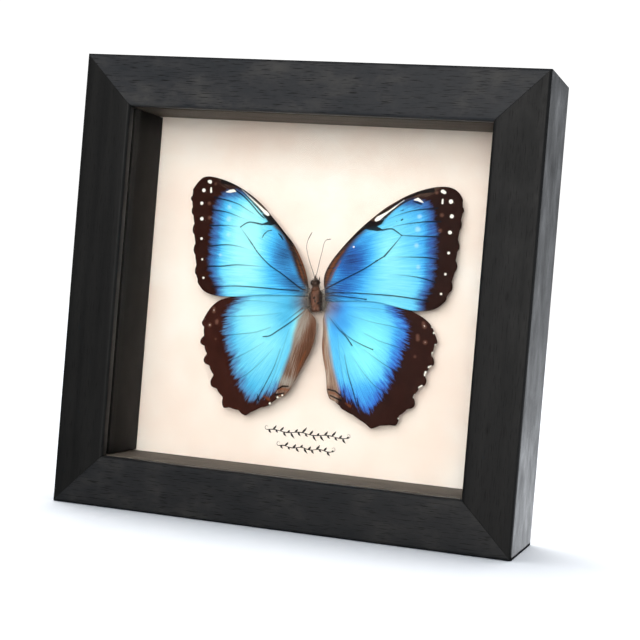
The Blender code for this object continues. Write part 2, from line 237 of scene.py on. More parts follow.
# The slate grey of rubbed lacquer, used also as painted sheen on the level rails.
rubbed = node(tree, "ShaderNodeValToRGB", {"Fac": cloud},
              stops=[(0.3, "#232629"), (0.72, "#3d3c3a"), (0.5, "#2b2c2e")])
wear_and_sheen = node(tree, "ShaderNodeAttribute", attribute_name="wear_and_sheen").outputs["Fac"]
stain = node(tree, "ShaderNodeMix", {"Factor": wear_and_sheen, "A": fresh, "B": rubbed}, data_type="RGBA")
stain = node(tree, "ShaderNodeMix", {"Factor": pores, "A": stain, "B": linear("#0b0b0c")}, data_type="RGBA")
gloss = node(tree, "ShaderNodeMapRange", {"Value": cloud, "From Min": 0.25, "From Max": 0.75,
                                          "To Min": 0.36, "To Max": 0.62})
relief = node(tree, "ShaderNodeMath", {0: bands, 1: pores}, operation="SUBTRACT")
bump = node(tree, "ShaderNodeBump", {"Height": relief, "Strength": 0.35, "Distance": 0.06 * MM})
wire(tree, shader, Base_Color=stain, Roughness=gloss, Normal=bump)

frame_low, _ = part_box("rail_bottom")
_, frame_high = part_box("rail_top")
frame_low = Vector((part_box("rail_left")[0].x, frame_low.y, frame_low.z))
frame_high = Vector((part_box("rail_right")[1].x, frame_high.y, frame_high.z))
frame_width = frame_high.x - frame_low.x
frame_height = frame_high.z - frame_low.z
# The last value of each rail is its wear_and_sheen, rubbing and painted sheen: the level rails lighter, the top one
# most.
for number, (side, length, across, turn, wear_and_sheen) in enumerate((
        ("bottom", frame_width, frame_height, 0, 0.55), ("left", frame_height, frame_width, 90, 0.0),
        ("top", frame_width, frame_height, 180, 0.95), ("right", frame_height, frame_width, -90, 0.08)), 1):
    rail(f"rail_{side}", side, length, across / 2, turn, number, wear_and_sheen)


# ---------------------------------------------------------------------------------------------------------
# Glass. One sheet of 2 mm float glass dropped into the rebate from behind. It is clear, and its cut edges
# are hidden behind the lip.

# Float glass: plain, clean and very slightly green.
float_glass, tree, shader = surface("clear float glass", Base_Color=linear("#fafdfb"), Roughness=0.0, IOR=1.5,
                                    Transmission_Weight=1.0)
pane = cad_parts["glass_pane"]
pane.data.materials.clear()
pane.data.materials.append(float_glass)
pane.visible_shadow = False


# ---------------------------------------------------------------------------------------------------------
# Lining strips. Four strips of the same wood, planed thin and stained black, stand between the glass and
# the card. The side strips are cut to fit between the top and bottom ones, and nothing else fixes them.

STRIP_EASE = 0.2 * MM


def eased_box(name, ease):
    """A box of a node's size with its edges eased."""
    low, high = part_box(name)
    made = bmesh.new()
    place = Matrix.Translation((low + high) / 2) @ Matrix.Diagonal((*(high - low), 1))
    bmesh.ops.create_cube(made, size=1, matrix=place)
    bmesh.ops.bevel(made, geom=list(made.edges), offset=ease, segments=3, profile=0.5, affect="EDGES")
    mesh = settled(made, name)
    smooth_faces(mesh, 50)
    return mesh


def strip_finish(name, scale, dark, light):
    """Black stained strip, matt, its grain along one axis: scale is how fine it is along X, Y and Z. dark and light
    set its colour: the level strips are given far lighter greys, painted light, and the upright ones near black,
    painted shade."""
    made, tree, shader = surface(name, IOR=1.45, Specular_IOR_Level=0.1)
    place = node(tree, "ShaderNodeTexCoord").outputs["Object"]
    lines = node(tree, "ShaderNodeMapping", {"Vector": place, "Scale": scale})
    lines = node(tree, "ShaderNodeTexNoise", {"Vector": lines, "Scale": 1, "Detail": 5, "Roughness": 0.6})
    tint = node(tree, "ShaderNodeValToRGB", {"Fac": lines}, stops=[(0.3, dark), (0.72, light)])
    patch = node(tree, "ShaderNodeTexNoise", {"Vector": place, "Scale": 120, "Detail": 3})
    gloss = node(tree, "ShaderNodeMapRange", {"Value": patch, "To Min": 0.5, "To Max": 0.66})
    bump = node(tree, "ShaderNodeBump", {"Height": lines, "Strength": 0.25, "Distance": 0.03 * MM})
    wire(tree, shader, Base_Color=tint, Roughness=gloss, Normal=bump)
    return made


# Lit and shaded copies of one stain: painted light on the level strips, painted shade on the upright ones.
level_strip_painted_light = strip_finish("black stained strip, grain level", (25, 1400, 1400), "#4c4641", "#6a625b")
upright_strip_painted_shade = strip_finish("black stained strip, grain upright", (1400, 1400, 25), "#080707", "#0e0d0c")
for side, finish in (("bottom", level_strip_painted_light), ("top", level_strip_painted_light),
                     ("left", upright_strip_painted_shade), ("right", upright_strip_painted_shade)):
    strip = piece(f"{side}_lining", eased_box(f"spacer_{side}", STRIP_EASE), finish, f"spacer_{side}")


# ---------------------------------------------------------------------------------------------------------
# Mount card. A cream museum card, cut to the rebate and laid behind the lining. Its face is uncoated
# paper, slightly clouded, with a warm pink cast.

CARD_EASE = 0.15 * MM           # the blade leaves its edges barely soft

# Uncoated cotton paper: matt and nearly white, with soft clouds some 10 to 40 mm wide and a fine tooth.
paper, tree, shader = surface("cream cotton card", Roughness=0.85, IOR=1.4)
place = node(tree, "ShaderNodeTexCoord").outputs["Object"]
cloud = node(tree, "ShaderNodeTexNoise", {"Vector": place, "Scale": 26, "Detail": 5, "Roughness": 0.6})
tint = node(tree, "ShaderNodeValToRGB", {"Fac": cloud},
            stops=[(0.36, "#f2e0d6"), (0.52, "#f6eae2"), (0.66, "#f8f1ec")])
fleck = node(tree, "ShaderNodeTexNoise", {"Vector": place, "Scale": 420, "Detail": 6, "Roughness": 0.7})
fleck = node(tree, "ShaderNodeMapRange", {"Value": fleck, "From Min": 0.3, "From Max": 0.7, "To Max": 0.22})
tint = node(tree, "ShaderNodeMix", {"Factor": fleck, "A": tint, "B": linear("#e9d6cb")}, data_type="RGBA")
tooth = node(tree, "ShaderNodeTexNoise", {"Vector": place, "Scale": 3200, "Detail": 3, "Roughness": 0.6})
bump = node(tree, "ShaderNodeBump", {"Height": tooth, "Strength": 0.25, "Distance": 0.03 * MM})
wire(tree, shader, Base_Color=tint, Normal=bump)
card = piece("mount_card", eased_box("mount_board", CARD_EASE), paper, "mount_board")


# ---------------------------------------------------------------------------------------------------------
# Pen ornament. Two short lines of leaf sprigs, drawn with a broad nib in black ink on the card under the
# specimen. The nib lays a thin raised film, wider on the down strokes.

INK_LINES = [
    # left end, right end, height above the floor, leaf length, in mm
    (-15.6, 17.8, 33.6, 3.6),
    (-10.2, 12.2, 27.8, 3.2),
]
INK_LIFT = 0.03 * MM            # middle of the film, in front of the card
INK_BODY = 0.2                  # thickness of the film over the stroke's half-width
STEM_WAVES = 6                  # half waves along a stem
STEM_RISE = 0.32                # mm
LEAF_SPACING = 1.55             # mm
CURL = 1.0                      # radius of the curl at each end, mm


def sprig(left, right, level, leaf):
    """Strokes of one sprig, each a list of x, z and nib half-width in mm: a waving stem, leaves that stand up
    and hang down in turn, and a curl at each end."""
    def on_stem(share):
        wave = share * math.pi * STEM_WAVES
        return left + (right - left) * share, level + STEM_RISE * math.sin(wave), 0.13 + 0.06 * abs(math.sin(wave))

    strokes = [[on_stem(step / 60) for step in range(61)]]
    count = round((right - left) / LEAF_SPACING)
    for number in range(count):
        share = (number + 0.6) / count
        x, z, _ = on_stem(share)
        up = 1 if number % 2 else -1
        reach = leaf * (0.62 + 0.2 * math.sin(number * 2.3)) * (0.75 + 0.25 * math.sin(share * math.pi))
        stroke = []
        for step in range(9):
            along = step / 8
            bend = math.sin(along * math.pi) * 0.22
            stroke.append((x + reach * along * 0.62 + bend * up, z + up * reach * along * 0.78,
                           0.05 + 0.36 * math.sin(along ** 0.75 * math.pi) ** 1.2))
        strokes.append(stroke)
    for end, way in ((left, -1), (right, 1)):
        curl = []
        for step in range(25):
            turn = step / 24 * 1.6 * math.pi
            radius = CURL * (1 - step / 34)
            curl.append((end + way * math.sin(turn) * radius, level + CURL - math.cos(turn) * radius,
                         0.12 * (1 - step / 30)))
        strokes.append(curl)
    return strokes


def growing_tree(name, *inputs):
    """A geometry nodes tree that takes a shape and the inputs, each a name and a kind, and its input node."""
    made = bpy.data.node_groups.new(name, "GeometryNodeTree")
    for label, kind in (("Geometry", "Geometry"), *inputs):
        made.interface.new_socket(label, in_out="INPUT", socket_type=f"NodeSocket{kind}")
    made.interface.new_socket("Geometry", in_out="OUTPUT", socket_type="NodeSocketGeometry")
    return made, node(made, "NodeGroupInput")


def finished_tree(tree, shape, finish):
    """Ends a geometry nodes tree: its copies are made real and take their material."""
    whole = node(tree, "GeometryNodeRealizeInstances", {"Geometry": shape})
    coated = node(tree, "GeometryNodeSetMaterial", {"Geometry": whole, "Material": finish})
    node(tree, "NodeGroupOutput", {"Geometry": coated})
    return tree


def nib_tree():
    """Geometry nodes that draw each path as a flat film, as wide as the path's radius says."""
    made, given = growing_tree("nib stroke", ("Film", "Float"), ("Ink", "Material"))
    upright = node(made, "GeometryNodeSetCurveNormal", {"Curve": given.outputs["Geometry"]}, mode="Z_UP")
    nib = node(made, "GeometryNodeCurvePrimitiveQuadrilateral", {"Width": 2.0, "Height": given.outputs["Film"]})
    width = node(made, "GeometryNodeInputRadius")
    stroke = node(made, "GeometryNodeCurveToMesh", {"Curve": upright, "Profile Curve": nib, "Scale": width,
                                                    "Fill Caps": True})
    return finished_tree(made, stroke, given.outputs["Ink"])


def drawn_paths(name, lines):
    """An object of straight-stepped paths, each a list of x, y, z and half-width in metres."""
    curve = bpy.data.curves.new(name, "CURVE")
    curve.dimensions = "3D"
    for line in lines:
        spline = curve.splines.new("POLY")
        spline.points.add(len(line) - 1)
        for point, (x, y, z, half) in zip(spline.points, line):
            point.co = (x, y, z, 1)
            point.radius = half
    return bpy.data.objects.new(name, curve)


def baked(source, name):
    """The mesh that an object's modifiers make of it. The object is then removed."""
    bpy.context.scene.collection.objects.link(source)
    source.update_tag()
    bpy.context.view_layer.update()
    graph = bpy.context.evaluated_depsgraph_get()
    mesh = bpy.data.meshes.new_from_object(source.evaluated_get(graph), preserve_all_data_layers=True,
                                           depsgraph=graph)
    mesh.name = name
    source.modifiers.clear()
    bpy.data.objects.remove(source)
    return mesh


def grown(name, source, tree, **values):
    """The mesh that a geometry nodes tree makes of a source object, with the tree's inputs set."""
    modifier = source.modifiers.new("grow", "NODES")
    modifier.node_group = tree
    for socket in tree.interface.items_tree:
        if socket.in_out == "INPUT" and socket.name in values:
            modifier[socket.identifier] = values[socket.name]
    return baked(source, name)


# Carbon ink: dense black brown, a little glossy where it lies thick.
ink, tree, shader = surface("carbon ink", IOR=1.5)
place = node(tree, "ShaderNodeTexCoord").outputs["Object"]
wash = node(tree, "ShaderNodeTexNoise", {"Vector": place, "Scale": 900, "Detail": 3})
tint = node(tree, "ShaderNodeValToRGB", {"Fac": wash}, stops=[(0.35, "#100e0d"), (0.7, "#241f1c")])
gloss = node(tree, "ShaderNodeMapRange", {"Value": wash, "To Min": 0.4, "To Max": 0.7})
wire(tree, shader, Base_Color=tint, Roughness=gloss)

strokes = [[(x * MM, z * MM, 0, half * MM) for x, z, half in stroke]
           for line in INK_LINES for stroke in sprig(*line)]
drawn = grown("pen_ornament", drawn_paths("sprigs", strokes), nib_tree(), Film=INK_BODY, Ink=ink)
card_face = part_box("mount_board")[0].y
drawn.transform(Matrix.Translation((0, card_face - INK_LIFT, 0)) @ Matrix.Rotation(math.radians(90), 4, "X"))
piece("pen_ornament", drawn, ink)


# ---------------------------------------------------------------------------------------------------------
# Foam block. A small cube of white plastic foam, glued to the card with the thorax glued to its front. It
# holds the specimen clear of the card.

FOAM_EASE = 0.3 * MM            # the knife leaves the foam's edges soft

# Closed-cell polyethylene foam: dull white, with cells about 0.4 mm across.
foam, tree, shader = surface("white polyethylene foam", Roughness=0.8, IOR=1.45, Subsurface_Weight=0.15,
                             Subsurface_Radius=(0.6 * MM, 0.6 * MM, 0.6 * MM))
place = node(tree, "ShaderNodeTexCoord").outputs["Object"]
cells = node(tree, "ShaderNodeTexVoronoi", {"Vector": place, "Scale": 2500}, feature="F1")
tint = node(tree, "ShaderNodeValToRGB", {"Fac": cells}, stops=[(0.0, "#f2f0ea"), (0.8, "#dcd9d0")])
bump = node(tree, "ShaderNodeBump", {"Height": cells, "Strength": 0.5, "Distance": 0.1 * MM})
wire(tree, shader, Base_Color=tint, Normal=bump)
piece("foam_block", eased_box("support_block", FOAM_EASE), foam, "support_block")


# ---------------------------------------------------------------------------------------------------------
# Wings. Four dry membranes on raised veins, spread flat and hardened in place, the forewings over the
# hindwings. Rows of scales give the blue by interference, and brown, white and rust pigment round it.

SPECIMEN = Vector((2.5 * MM, 0, 88 * MM))   # where the wings meet the body: mm below are from this point
FORE_Y = frame_low.y + 25.2 * MM            # forewing roots, behind the frame's face
HIND_Y = frame_low.y + 26.0 * MM
WING_SLOPE = math.radians(3)                # wings fall back from root to tip
MEMBRANE = 0.14 * MM
WEAVE = 0.34                                # spacing of the wing's points, in mm
WEAVE_ROWS = 0.866 * WEAVE                  # rows of even triangles
VEIN_WIDTH = 0.34                           # mm
VEIN_TENT = (0.22, 1.3)                     # how high the membrane rises to a vein, and how far out, mm
VEIN_RIB = (0.07, 0.25)                     # how far the vein itself stands up, and its half-width, mm
COCKLE = 0.22                               # how far the dry membrane waves, mm
NOTCHES = (0.24, 0.66)                      # where a scallop is notched, from one vein end to the next

# Outlines in mm, out from the body's middle and up from the wing roots, as the CAD has them. costa runs
# root to tip, tips are the vein ends on the margin with the dip after each, and inner runs back.
LEFT_FOREWING = {
    "costa": [(3.2, 2.5), (4.4, 7.2), (6.8, 12.6), (10.6, 18.6), (15.2, 23.4), (20.5, 28.7), (25.5, 33.5),
              (31.5, 37.6), (37.5, 40.6), (43.8, 42.6), (48.8, 43.3), (51.8, 42.6), (54.0, 40.4)],
    "tips": [(55.7, 37.8, 0.4), (56.3, 34.2, 0.6), (55.5, 29.1, 0.9), (54.4, 21.5, 0.9), (53.3, 13.8, 0.8),
             (51.9, 4.8, 0.4), (50.3, 0.9, 0)],
    "inner": [(47.5, -2.0), (43.5, -3.3), (38.0, -3.5), (31.5, -3.0), (23.0, -1.8), (12.0, -1.1), (3.2, -0.9)],
    "fan": (-25, 6),
    # Field of blue scales.
    "blue": [(-5, -8), (41.3, -8), (41.3, -3), (42, 0), (44.0, 3), (45.6, 6), (46.3, 10), (46.0, 15), (45.8, 20),
             (45.8, 27), (45.4, 32), (44.2, 34.6), (42.6, 36.6), (40.6, 37.5), (38, 37.9), (36.4, 38.6), (30, 39),
             (10, 34), (-5, 10)],
    # Brown band inside the front edge.
    "band": [(50, 46), (42, 39.6), (36.6, 39.3), (33.8, 37.7), (30, 34.8), (26.3, 31.4), (24.6, 29.6), (20.3, 25.6),
             (15.2, 21.0), (12.2, 15.6), (10.0, 10.6), (7.8, 6.2), (5, 3), (2, 1), (-3, 10), (0, 50)],
    # Veins: how dark each is at its start and at its end, then its points.
    "veins": [
        (0.9, 0.7, [(4.5, 1.6), (6.9, 2.3), (14.4, 6.9), (20, 10), (25, 14.1), (28.1, 17.6)]),
        (0.7, 0.2, [(28.1, 17.6), (31.3, 21.3), (33.8, 24.1)]),
        (1.0, 0.75, [(24.7, 25.7), (29.4, 26.3), (31.6, 25.7), (33.8, 24.1)]),
        (1.0, 0.15, [(46, 35.3), (44.4, 34.9), (39.4, 34.1), (35, 32.9), (31.9, 31.3), (25, 27.9)]),
        (1.0, 0.15, [(46.5, 30.2), (45, 30.1), (40, 29.6), (33.8, 27.9), (30.6, 27)]),
        (1.0, 0.2, [(47, 23.9), (45, 24), (40, 24.4), (34.4, 24.3)]),
        (1.0, 0.1, [(47, 15.8), (45, 16), (39.4, 16.8), (33.8, 16.5), (27, 15)]),
        (1.0, 0.15, [(46.7, 7.7), (44.7, 7.9), (40, 8.3), (33.1, 9.3), (20, 9.3)]),
        (0.6, 0.9, [(44, 0), (41.9, 0.1), (33.8, 0.9), (25, 1.1), (16.3, 1), (6.9, 1.1)]),
        (0.9, 1.0, [(37.6, 38.6), (33.8, 36.5), (30, 33.4), (26.3, 29.9), (24.0, 28.2)]),
        (0.35, 0.1, [(45.5, 3.6), (43, 3.6), (39, 4.4), (33, 5.2)]),
        (0.3, 0.1, [(46.5, 12), (43.5, 12.2), (39, 12.9)]),
        (0.3, 0.1, [(46, 20), (43.5, 20.2), (39, 20.6)]),
    ],
    # White, pale, black and rust marks: round-ended strokes of points with a half-width.
    "white": [[(48.4, 41.2, 0.75), (48.9, 41.3, 0.6)], [(50.9, 37.7, 0.75)], [(51.4, 32.5, 0.65)],
              [(50.8, 26.4, 0.72)], [(50.2, 18.6, 0.55)], [(49.2, 10.4, 0.45)], [(48.0, 3.1, 0.45)],
              [(47.8, 38.8, 0.3), (47.7, 37.2, 0.38)],
              [(41.3, 37.5, 0.12), (39.4, 37.9, 0.6), (38.0, 38.2, 0.55), (36.9, 37.9, 0.15)],
              [(34.6, 38.9, 0.1), (31.5, 36.5, 0.15), (28, 33.9, 0.22), (25.2, 31.6, 0.42), (23.4, 30.2, 0.68),
               (22.6, 29.7, 0.55)]],
    "pale": [[(39.2, 31.8, 0.7)], [(39.1, 27, 0.8)], [(38.6, 20.8, 0.6)], [(41.4, 12.6, 0.5)], [(48.1, 32.7, 0.5)],
             [(47.5, 27, 0.5)], [(46, 40.5, 0.3)]],
    "black": [[(19.0, 27.6, 1.4), (21.2, 26.6, 1.1), (22.9, 26.1, 0.6), (24.9, 25.7, 0.2)],
              [(20.0, 28.2, 1.4), (22.0, 28.2, 1.0), (23.6, 28.9, 0.55), (24.9, 29.8, 0.2)],
              [(19.6, 27.6, 1.0), (17.2, 25.4, 0.8), (14.6, 22.6, 0.6), (12.4, 19.8, 0.35), (10.6, 17.2, 0.1)],
              [(22.2, 31.0, 0.35), (25.5, 33.8, 0.3), (31.5, 37.6, 0.3), (37, 40.4, 0.5), (43, 41.6, 0.9)],
              [(35.8, 39.4, 0.1), (32, 36.2, 0.2), (28, 32.8, 0.25), (25.2, 30.4, 0.35)],
              [(20.4, 23.7, 0.2), (22.2, 23.3, 0.25), (23.6, 22.0, 0.25), (24.4, 20.5, 0.15)],
              [(17.6, 22.6, 0.2), (16.2, 21.3, 0.3), (15.4, 20.2, 0.2)]],
    "rust": [[(3.9, 5.2, 0.2), (5.6, 9.6, 0.35), (8.2, 14.6, 0.3), (10.8, 18.0, 0.1)],
             [(5.0, 4.0, 0.1), (6.6, 8.0, 0.3), (9.0, 13.0, 0.1)]],
    # Where the blue is brighter or deeper: middle, reach out and up, amount. On the hindwings, the small lobes
    #     along the inner fold are painted highlights and painted shade where the real fold curls.
    "shine": [(31, 9, 10, 16, 0.42), (31, 24, 7, 9, 0.42), (29, 31, 5, 5, 0.34), (14.4, 15, 6, 7.5, -0.5),
              (10, 4, 5, 4, -0.42), (20, 6, 4, 6, -0.1), (44, 20, 3, 24, -0.3)],
}
RIGHT_FOREWING = {
    "costa": [(3.4, 1.4), (2.7, 5.0), (2.9, 8.6), (4.9, 13.2), (8.0, 17.8), (12.0, 22.9), (16.5, 27.9),
              (23.4, 34.3), (27.4, 37.2), (32.0, 40.1), (37.2, 42.5), (42.0, 44.0), (46.2, 44.6),
              (49.6, 44.2), (52.2, 42.6)],
    "tips": [(53.8, 40.2, 0.4), (54.6, 36.2, 0.6), (54.1, 30.4, 0.9), (54.0, 22.3, 0.9), (53.8, 14.5, 0.9),
             (52.6, 6.2, 0.5), (50.4, 1.6, 0)],
    "inner": [(47.6, -1.0), (44.0, -2.5), (38.0, -2.9), (32.0, -2.1), (23.0, -0.8), (14.5, -1.1), (6.0, -2.1),
              (3.7, -2.0)],
    "fan": (-25, 6),
    "blue": [(-5, -8), (42.3, -8), (42.3, -1.5), (42.2, 1), (43, 3.5), (44.8, 6.5), (45, 10), (45.3, 14), (45.2, 18),
             (44.8, 22), (45, 26), (44.3, 30), (43.3, 33.5), (42.4, 36), (41.2, 37.8), (39.2, 38.4), (37, 38.9),
             (34, 39.6), (30, 39), (10, 34), (-5, 10)],
    "band": [(50, 48), (40, 40.2), (35.2, 39.7), (31.4, 37.9), (27.6, 34.6), (25, 31.6), (23.8, 29.4), (21, 27.4),
             (18, 26.6), (14.6, 22.9), (11.2, 18.6), (8.7, 14), (6.9, 10), (5.4, 6.5), (4, 3), (1, 1), (-3, 10),
             (0, 50)],
    "veins": [
        (0.8, 0.9, [(4, 2.8), (7.5, 5), (12.5, 8), (18, 11.3), (22.5, 14.6), (25.6, 16.8)]),
        (0.9, 0.4, [(25.6, 16.8), (27.5, 19.3), (30.2, 23), (31.6, 25.2)]),
        (1.0, 0.8, [(24, 26.7), (27.5, 27.4), (29.5, 26.5), (31.6, 25.2)]),
        (1.0, 0.2, [(44.5, 36.4), (42, 36), (36, 35), (30, 33), (25, 30.5)]),
        (1.0, 0.3, [(46, 31.4), (44.8, 31.3), (40, 30.9), (33, 29.6), (28, 28.3)]),
        (1.0, 0.5, [(46, 25.7), (44.5, 25.6), (37, 25.3), (32, 25.2)]),
        (1.0, 0.15, [(46, 17.3), (45, 17.3), (41, 17.5), (35, 17.2), (28, 16.8)]),
        (1.0, 0.15, [(46, 8.3), (45, 8.7), (40, 9.7), (35, 10.1), (29, 10.2)]),
        (0.8, 0.8, [(44, 1), (42.5, 1.3), (36, 1.8), (30, 2.1), (18, 2), (8, 1.5), (4, 0.8)]),
        (0.8, 0.9, [(34.8, 39.4), (31, 37.3), (27.4, 34.2), (24.8, 31.3)]),
        (0.6, 0.2, [(45, 4.4), (43, 4.5), (40, 5)]),
        (0.4, 0.1, [(45.2, 13), (43, 13), (40, 13.4)]),
        (0.4, 0.1, [(45, 21.5), (43, 21.6), (40, 21.8)]),
        (0.5, 0.9, [(3.8, 0.2), (8, 0.3), (14, 0.2), (20, -0.1)]),
    ],
    "white": [[(45.8, 42.8, 0.65), (46.6, 42.5, 0.6)], [(49.3, 39.2, 0.8)], [(50.1, 33.7, 0.75)],
              [(49.9, 27.6, 0.72)], [(50.1, 19.8, 0.55)], [(49.5, 11.8, 0.5)], [(48.5, 4.3, 0.45)],
              [(46.1, 39.8, 0.25), (46.1, 38.4, 0.4)],
              [(35.3, 38.9, 0.2), (36.7, 39.2, 0.6), (37.9, 38.6, 0.4), (38.7, 38.2, 0.15)],
              [(31.5, 38.6, 0.1), (28.6, 36.2, 0.2), (26, 34.0, 0.25), (23.6, 32.2, 0.55), (22.0, 31.0, 0.85),
               (21.2, 30.4, 0.6)], [(13.3, 19.5, 0.35)]],
    "pale": [[(37.8, 32.8, 0.7)], [(37.5, 28, 0.85)], [(37.5, 21.8, 0.65)], [(38.9, 13.7, 0.6)], [(46.3, 33.9, 0.5)],
             [(46.2, 28, 0.45)], [(43.6, 42.2, 0.35)]],
    "black": [[(17.2, 27.6, 1.1), (19.5, 27.6, 1.3), (21.8, 27.0, 0.9), (24.1, 26.7, 0.25)],
              [(18.4, 28.8, 1.2), (20.6, 28.6, 1.1), (22.8, 29.4, 0.8), (24.2, 30.5, 0.2)],
              [(18.6, 28.6, 0.9), (15.6, 26.0, 0.6), (13.0, 23.2, 0.4), (10.4, 20.2, 0.15)],
              [(22.4, 32.6, 0.3), (27.4, 36.4, 0.3), (32.0, 39.4, 0.35), (37.2, 41.8, 0.5), (42, 43.0, 0.8)],
              [(33.6, 39.4, 0.15), (29.6, 36.6, 0.25), (26.4, 33.6, 0.3), (24.0, 31.0, 0.3)],
              [(35.2, 38.3, 0.25), (36.8, 37.9, 0.4), (38.2, 37.5, 0.25)],
              [(31.4, 31.3, 0.3), (30.9, 30.9, 0.25)], [(29.2, 30.4, 0.2)], [(31.4, 34.8, 0.25), (30.2, 34.4, 0.1)],
              [(22.9, 15.0, 0.3), (22.3, 14.7, 0.2)]],
    "rust": [[(3.6, 4.6, 0.25), (4.3, 8.8, 0.4), (6.6, 13.6, 0.35), (9.6, 17.8, 0.2)],
             [(4.8, 5.0, 0.1), (6.2, 9.6, 0.3), (8.6, 13.6, 0.1)]],
    "shine": [(31, 6, 11, 15, 0.36), (27, 21, 6, 9, 0.34), (32, 30, 7, 6, 0.1), (12, 14, 6, 8, -0.42),
              (10, 3, 6, 4, -0.26), (18, 16, 5, 8, -0.16), (43, 20, 3, 24, -0.25)],
}
LEFT_HINDWING = {
    "costa": [(3.4, -3.2), (5.0, -0.8), (12.0, 0.8), (22.0, 0.6), (31.0, -1.8), (37.2, -3.9), (41.2, -5.6),
              (44.6, -9.0)],
    "tips": [(47.5, -14.4, 1.2), (47.5, -22.4, 1.6), (45.3, -29.8, 1.9), (41.4, -38.9, 1.5), (35.2, -47.2, 0.9),
             (25.6, -49.4, 0.4), (15.6, -44.2, 0.5), (9.6, -39.9, 0)],
    "inner": [(7.8, -37.4), (5.4, -32.5), (3.0, -27.2), (0.5, -21.6), (-0.7, -17.0), (-0.9, -12.6),
              (-0.4, -9.4), (1.6, -7.2), (3.1, -5.4)],
    "fan": (2, -1),
    "blue": [(-9, 6), (31, 6), (31.5, -2.6), (33.3, -4.2), (36, -7.6), (37.5, -10.4), (37.3, -15.8), (37, -20),
             (35.6, -24.5), (33.3, -27), (33, -32), (31.4, -33.9), (29.5, -35.4), (29.2, -38.9), (26.4, -41.7),
             (23.9, -43.3), (20.8, -42.6), (17, -40.1), (14.5, -38.9), (11, -36.6), (-9, -34)],
    "band": [(-9, 8), (2.5, -4), (4.5, -6.4), (7, -10), (8.3, -15.8), (8.9, -22), (10.8, -28.3), (12.6, -34.5),
             (13.5, -39), (11, -44), (-9, -44)],
    "veins": [
        (0.9, 0.9, [(3.6, -5.9), (8.3, -10.1), (11.4, -12.6), (14.8, -15.1), (17.9, -17.3), (20.8, -17.9)]),
        (0.6, 0.1, [(5.2, -5.5), (9.4, -9.0), (12.4, -11.6), (15.6, -13.8)]),
        (0.3, 0.5, [(18, -14), (24, -16.4), (31, -17.8), (37.5, -19)]),
        (0.2, 0.5, [(16, -22), (20, -27), (25, -32), (30, -35.8)]),
        (0.3, 0.8, [(13, -22), (15, -29), (18, -36), (21.4, -43)]),
        (0.25, 0.3, [(10, -14), (11.5, -20), (13.4, -28), (16, -36), (17.5, -40.5)]),
        (0.2, 0.5, [(14, -8), (22, -9.6), (30, -10.6), (38, -11.4)]),
        (0.15, 0.4, [(10, -4.6), (18, -4.2), (28, -4.4), (35, -6.4)]),
        (0.2, 0.5, [(20, -20), (26, -24), (31, -27), (34.5, -29)]),
    ],
    "white": [[(42.6, -9.0, 0.1), (42.6, -9.5, 0.15)], [(43.9, -15.3, 0.2)], [(15.6, -43.6, 0.5)],
              [(12.6, -40.9, 0.45)], [(10.7, -39.9, 0.4)]],
    "pale": [[(42.6, -8.6, 0.4), (42.6, -9.8, 0.5)], [(41.0, -13.5, 0.5), (41, -14.2, 0.45)], [(43.9, -15.3, 0.6)],
             [(40.9, -20.6, 0.2)]],
    "black": [[(8.6, -36.2, 0.3), (11, -36.4, 0.4), (13, -37.8, 0.3)], [(10.2, -39, 0.3), (13.6, -40, 0.4)],
              [(21.2, -40.5, 0.2), (20.4, -43, 0.35)]],
    "rust": [[(8.6, -37.6, 0.35), (11.6, -37.4, 0.4), (13.4, -38.4, 0.2)], [(18.4, -41.0, 0.3), (16.2, -42.0, 0.5)],
             [(2.6, -22, 0.1), (4.4, -27, 0.3), (5.4, -30, 0.1)]],
    # Small lobes along the inner fold: painted highlights and painted shade, the fold itself being flat.
    "shine": [(26, -11, 9, 8, 0.42), (20, -22, 8, 8, 0.3), (13, -9, 5, 5, -0.1), (23, -32, 8, 7, 0.06),
              (35, -18, 3, 12, -0.18), (27, -39, 6, 5, -0.2), (8, -4, 4, 3, -0.25), (3, -24, 3, 6, -0.6),
              (6.4, -14, 2.2, 7, 0.7), (3.4, -10, 1.8, 4, 0.4), (1, -15, 1.2, 5, -0.35),
              (9.6, -34.5, 2.5, 2.5, 0.7), (7.6, -28, 1.2, 4, 0.25)],
}
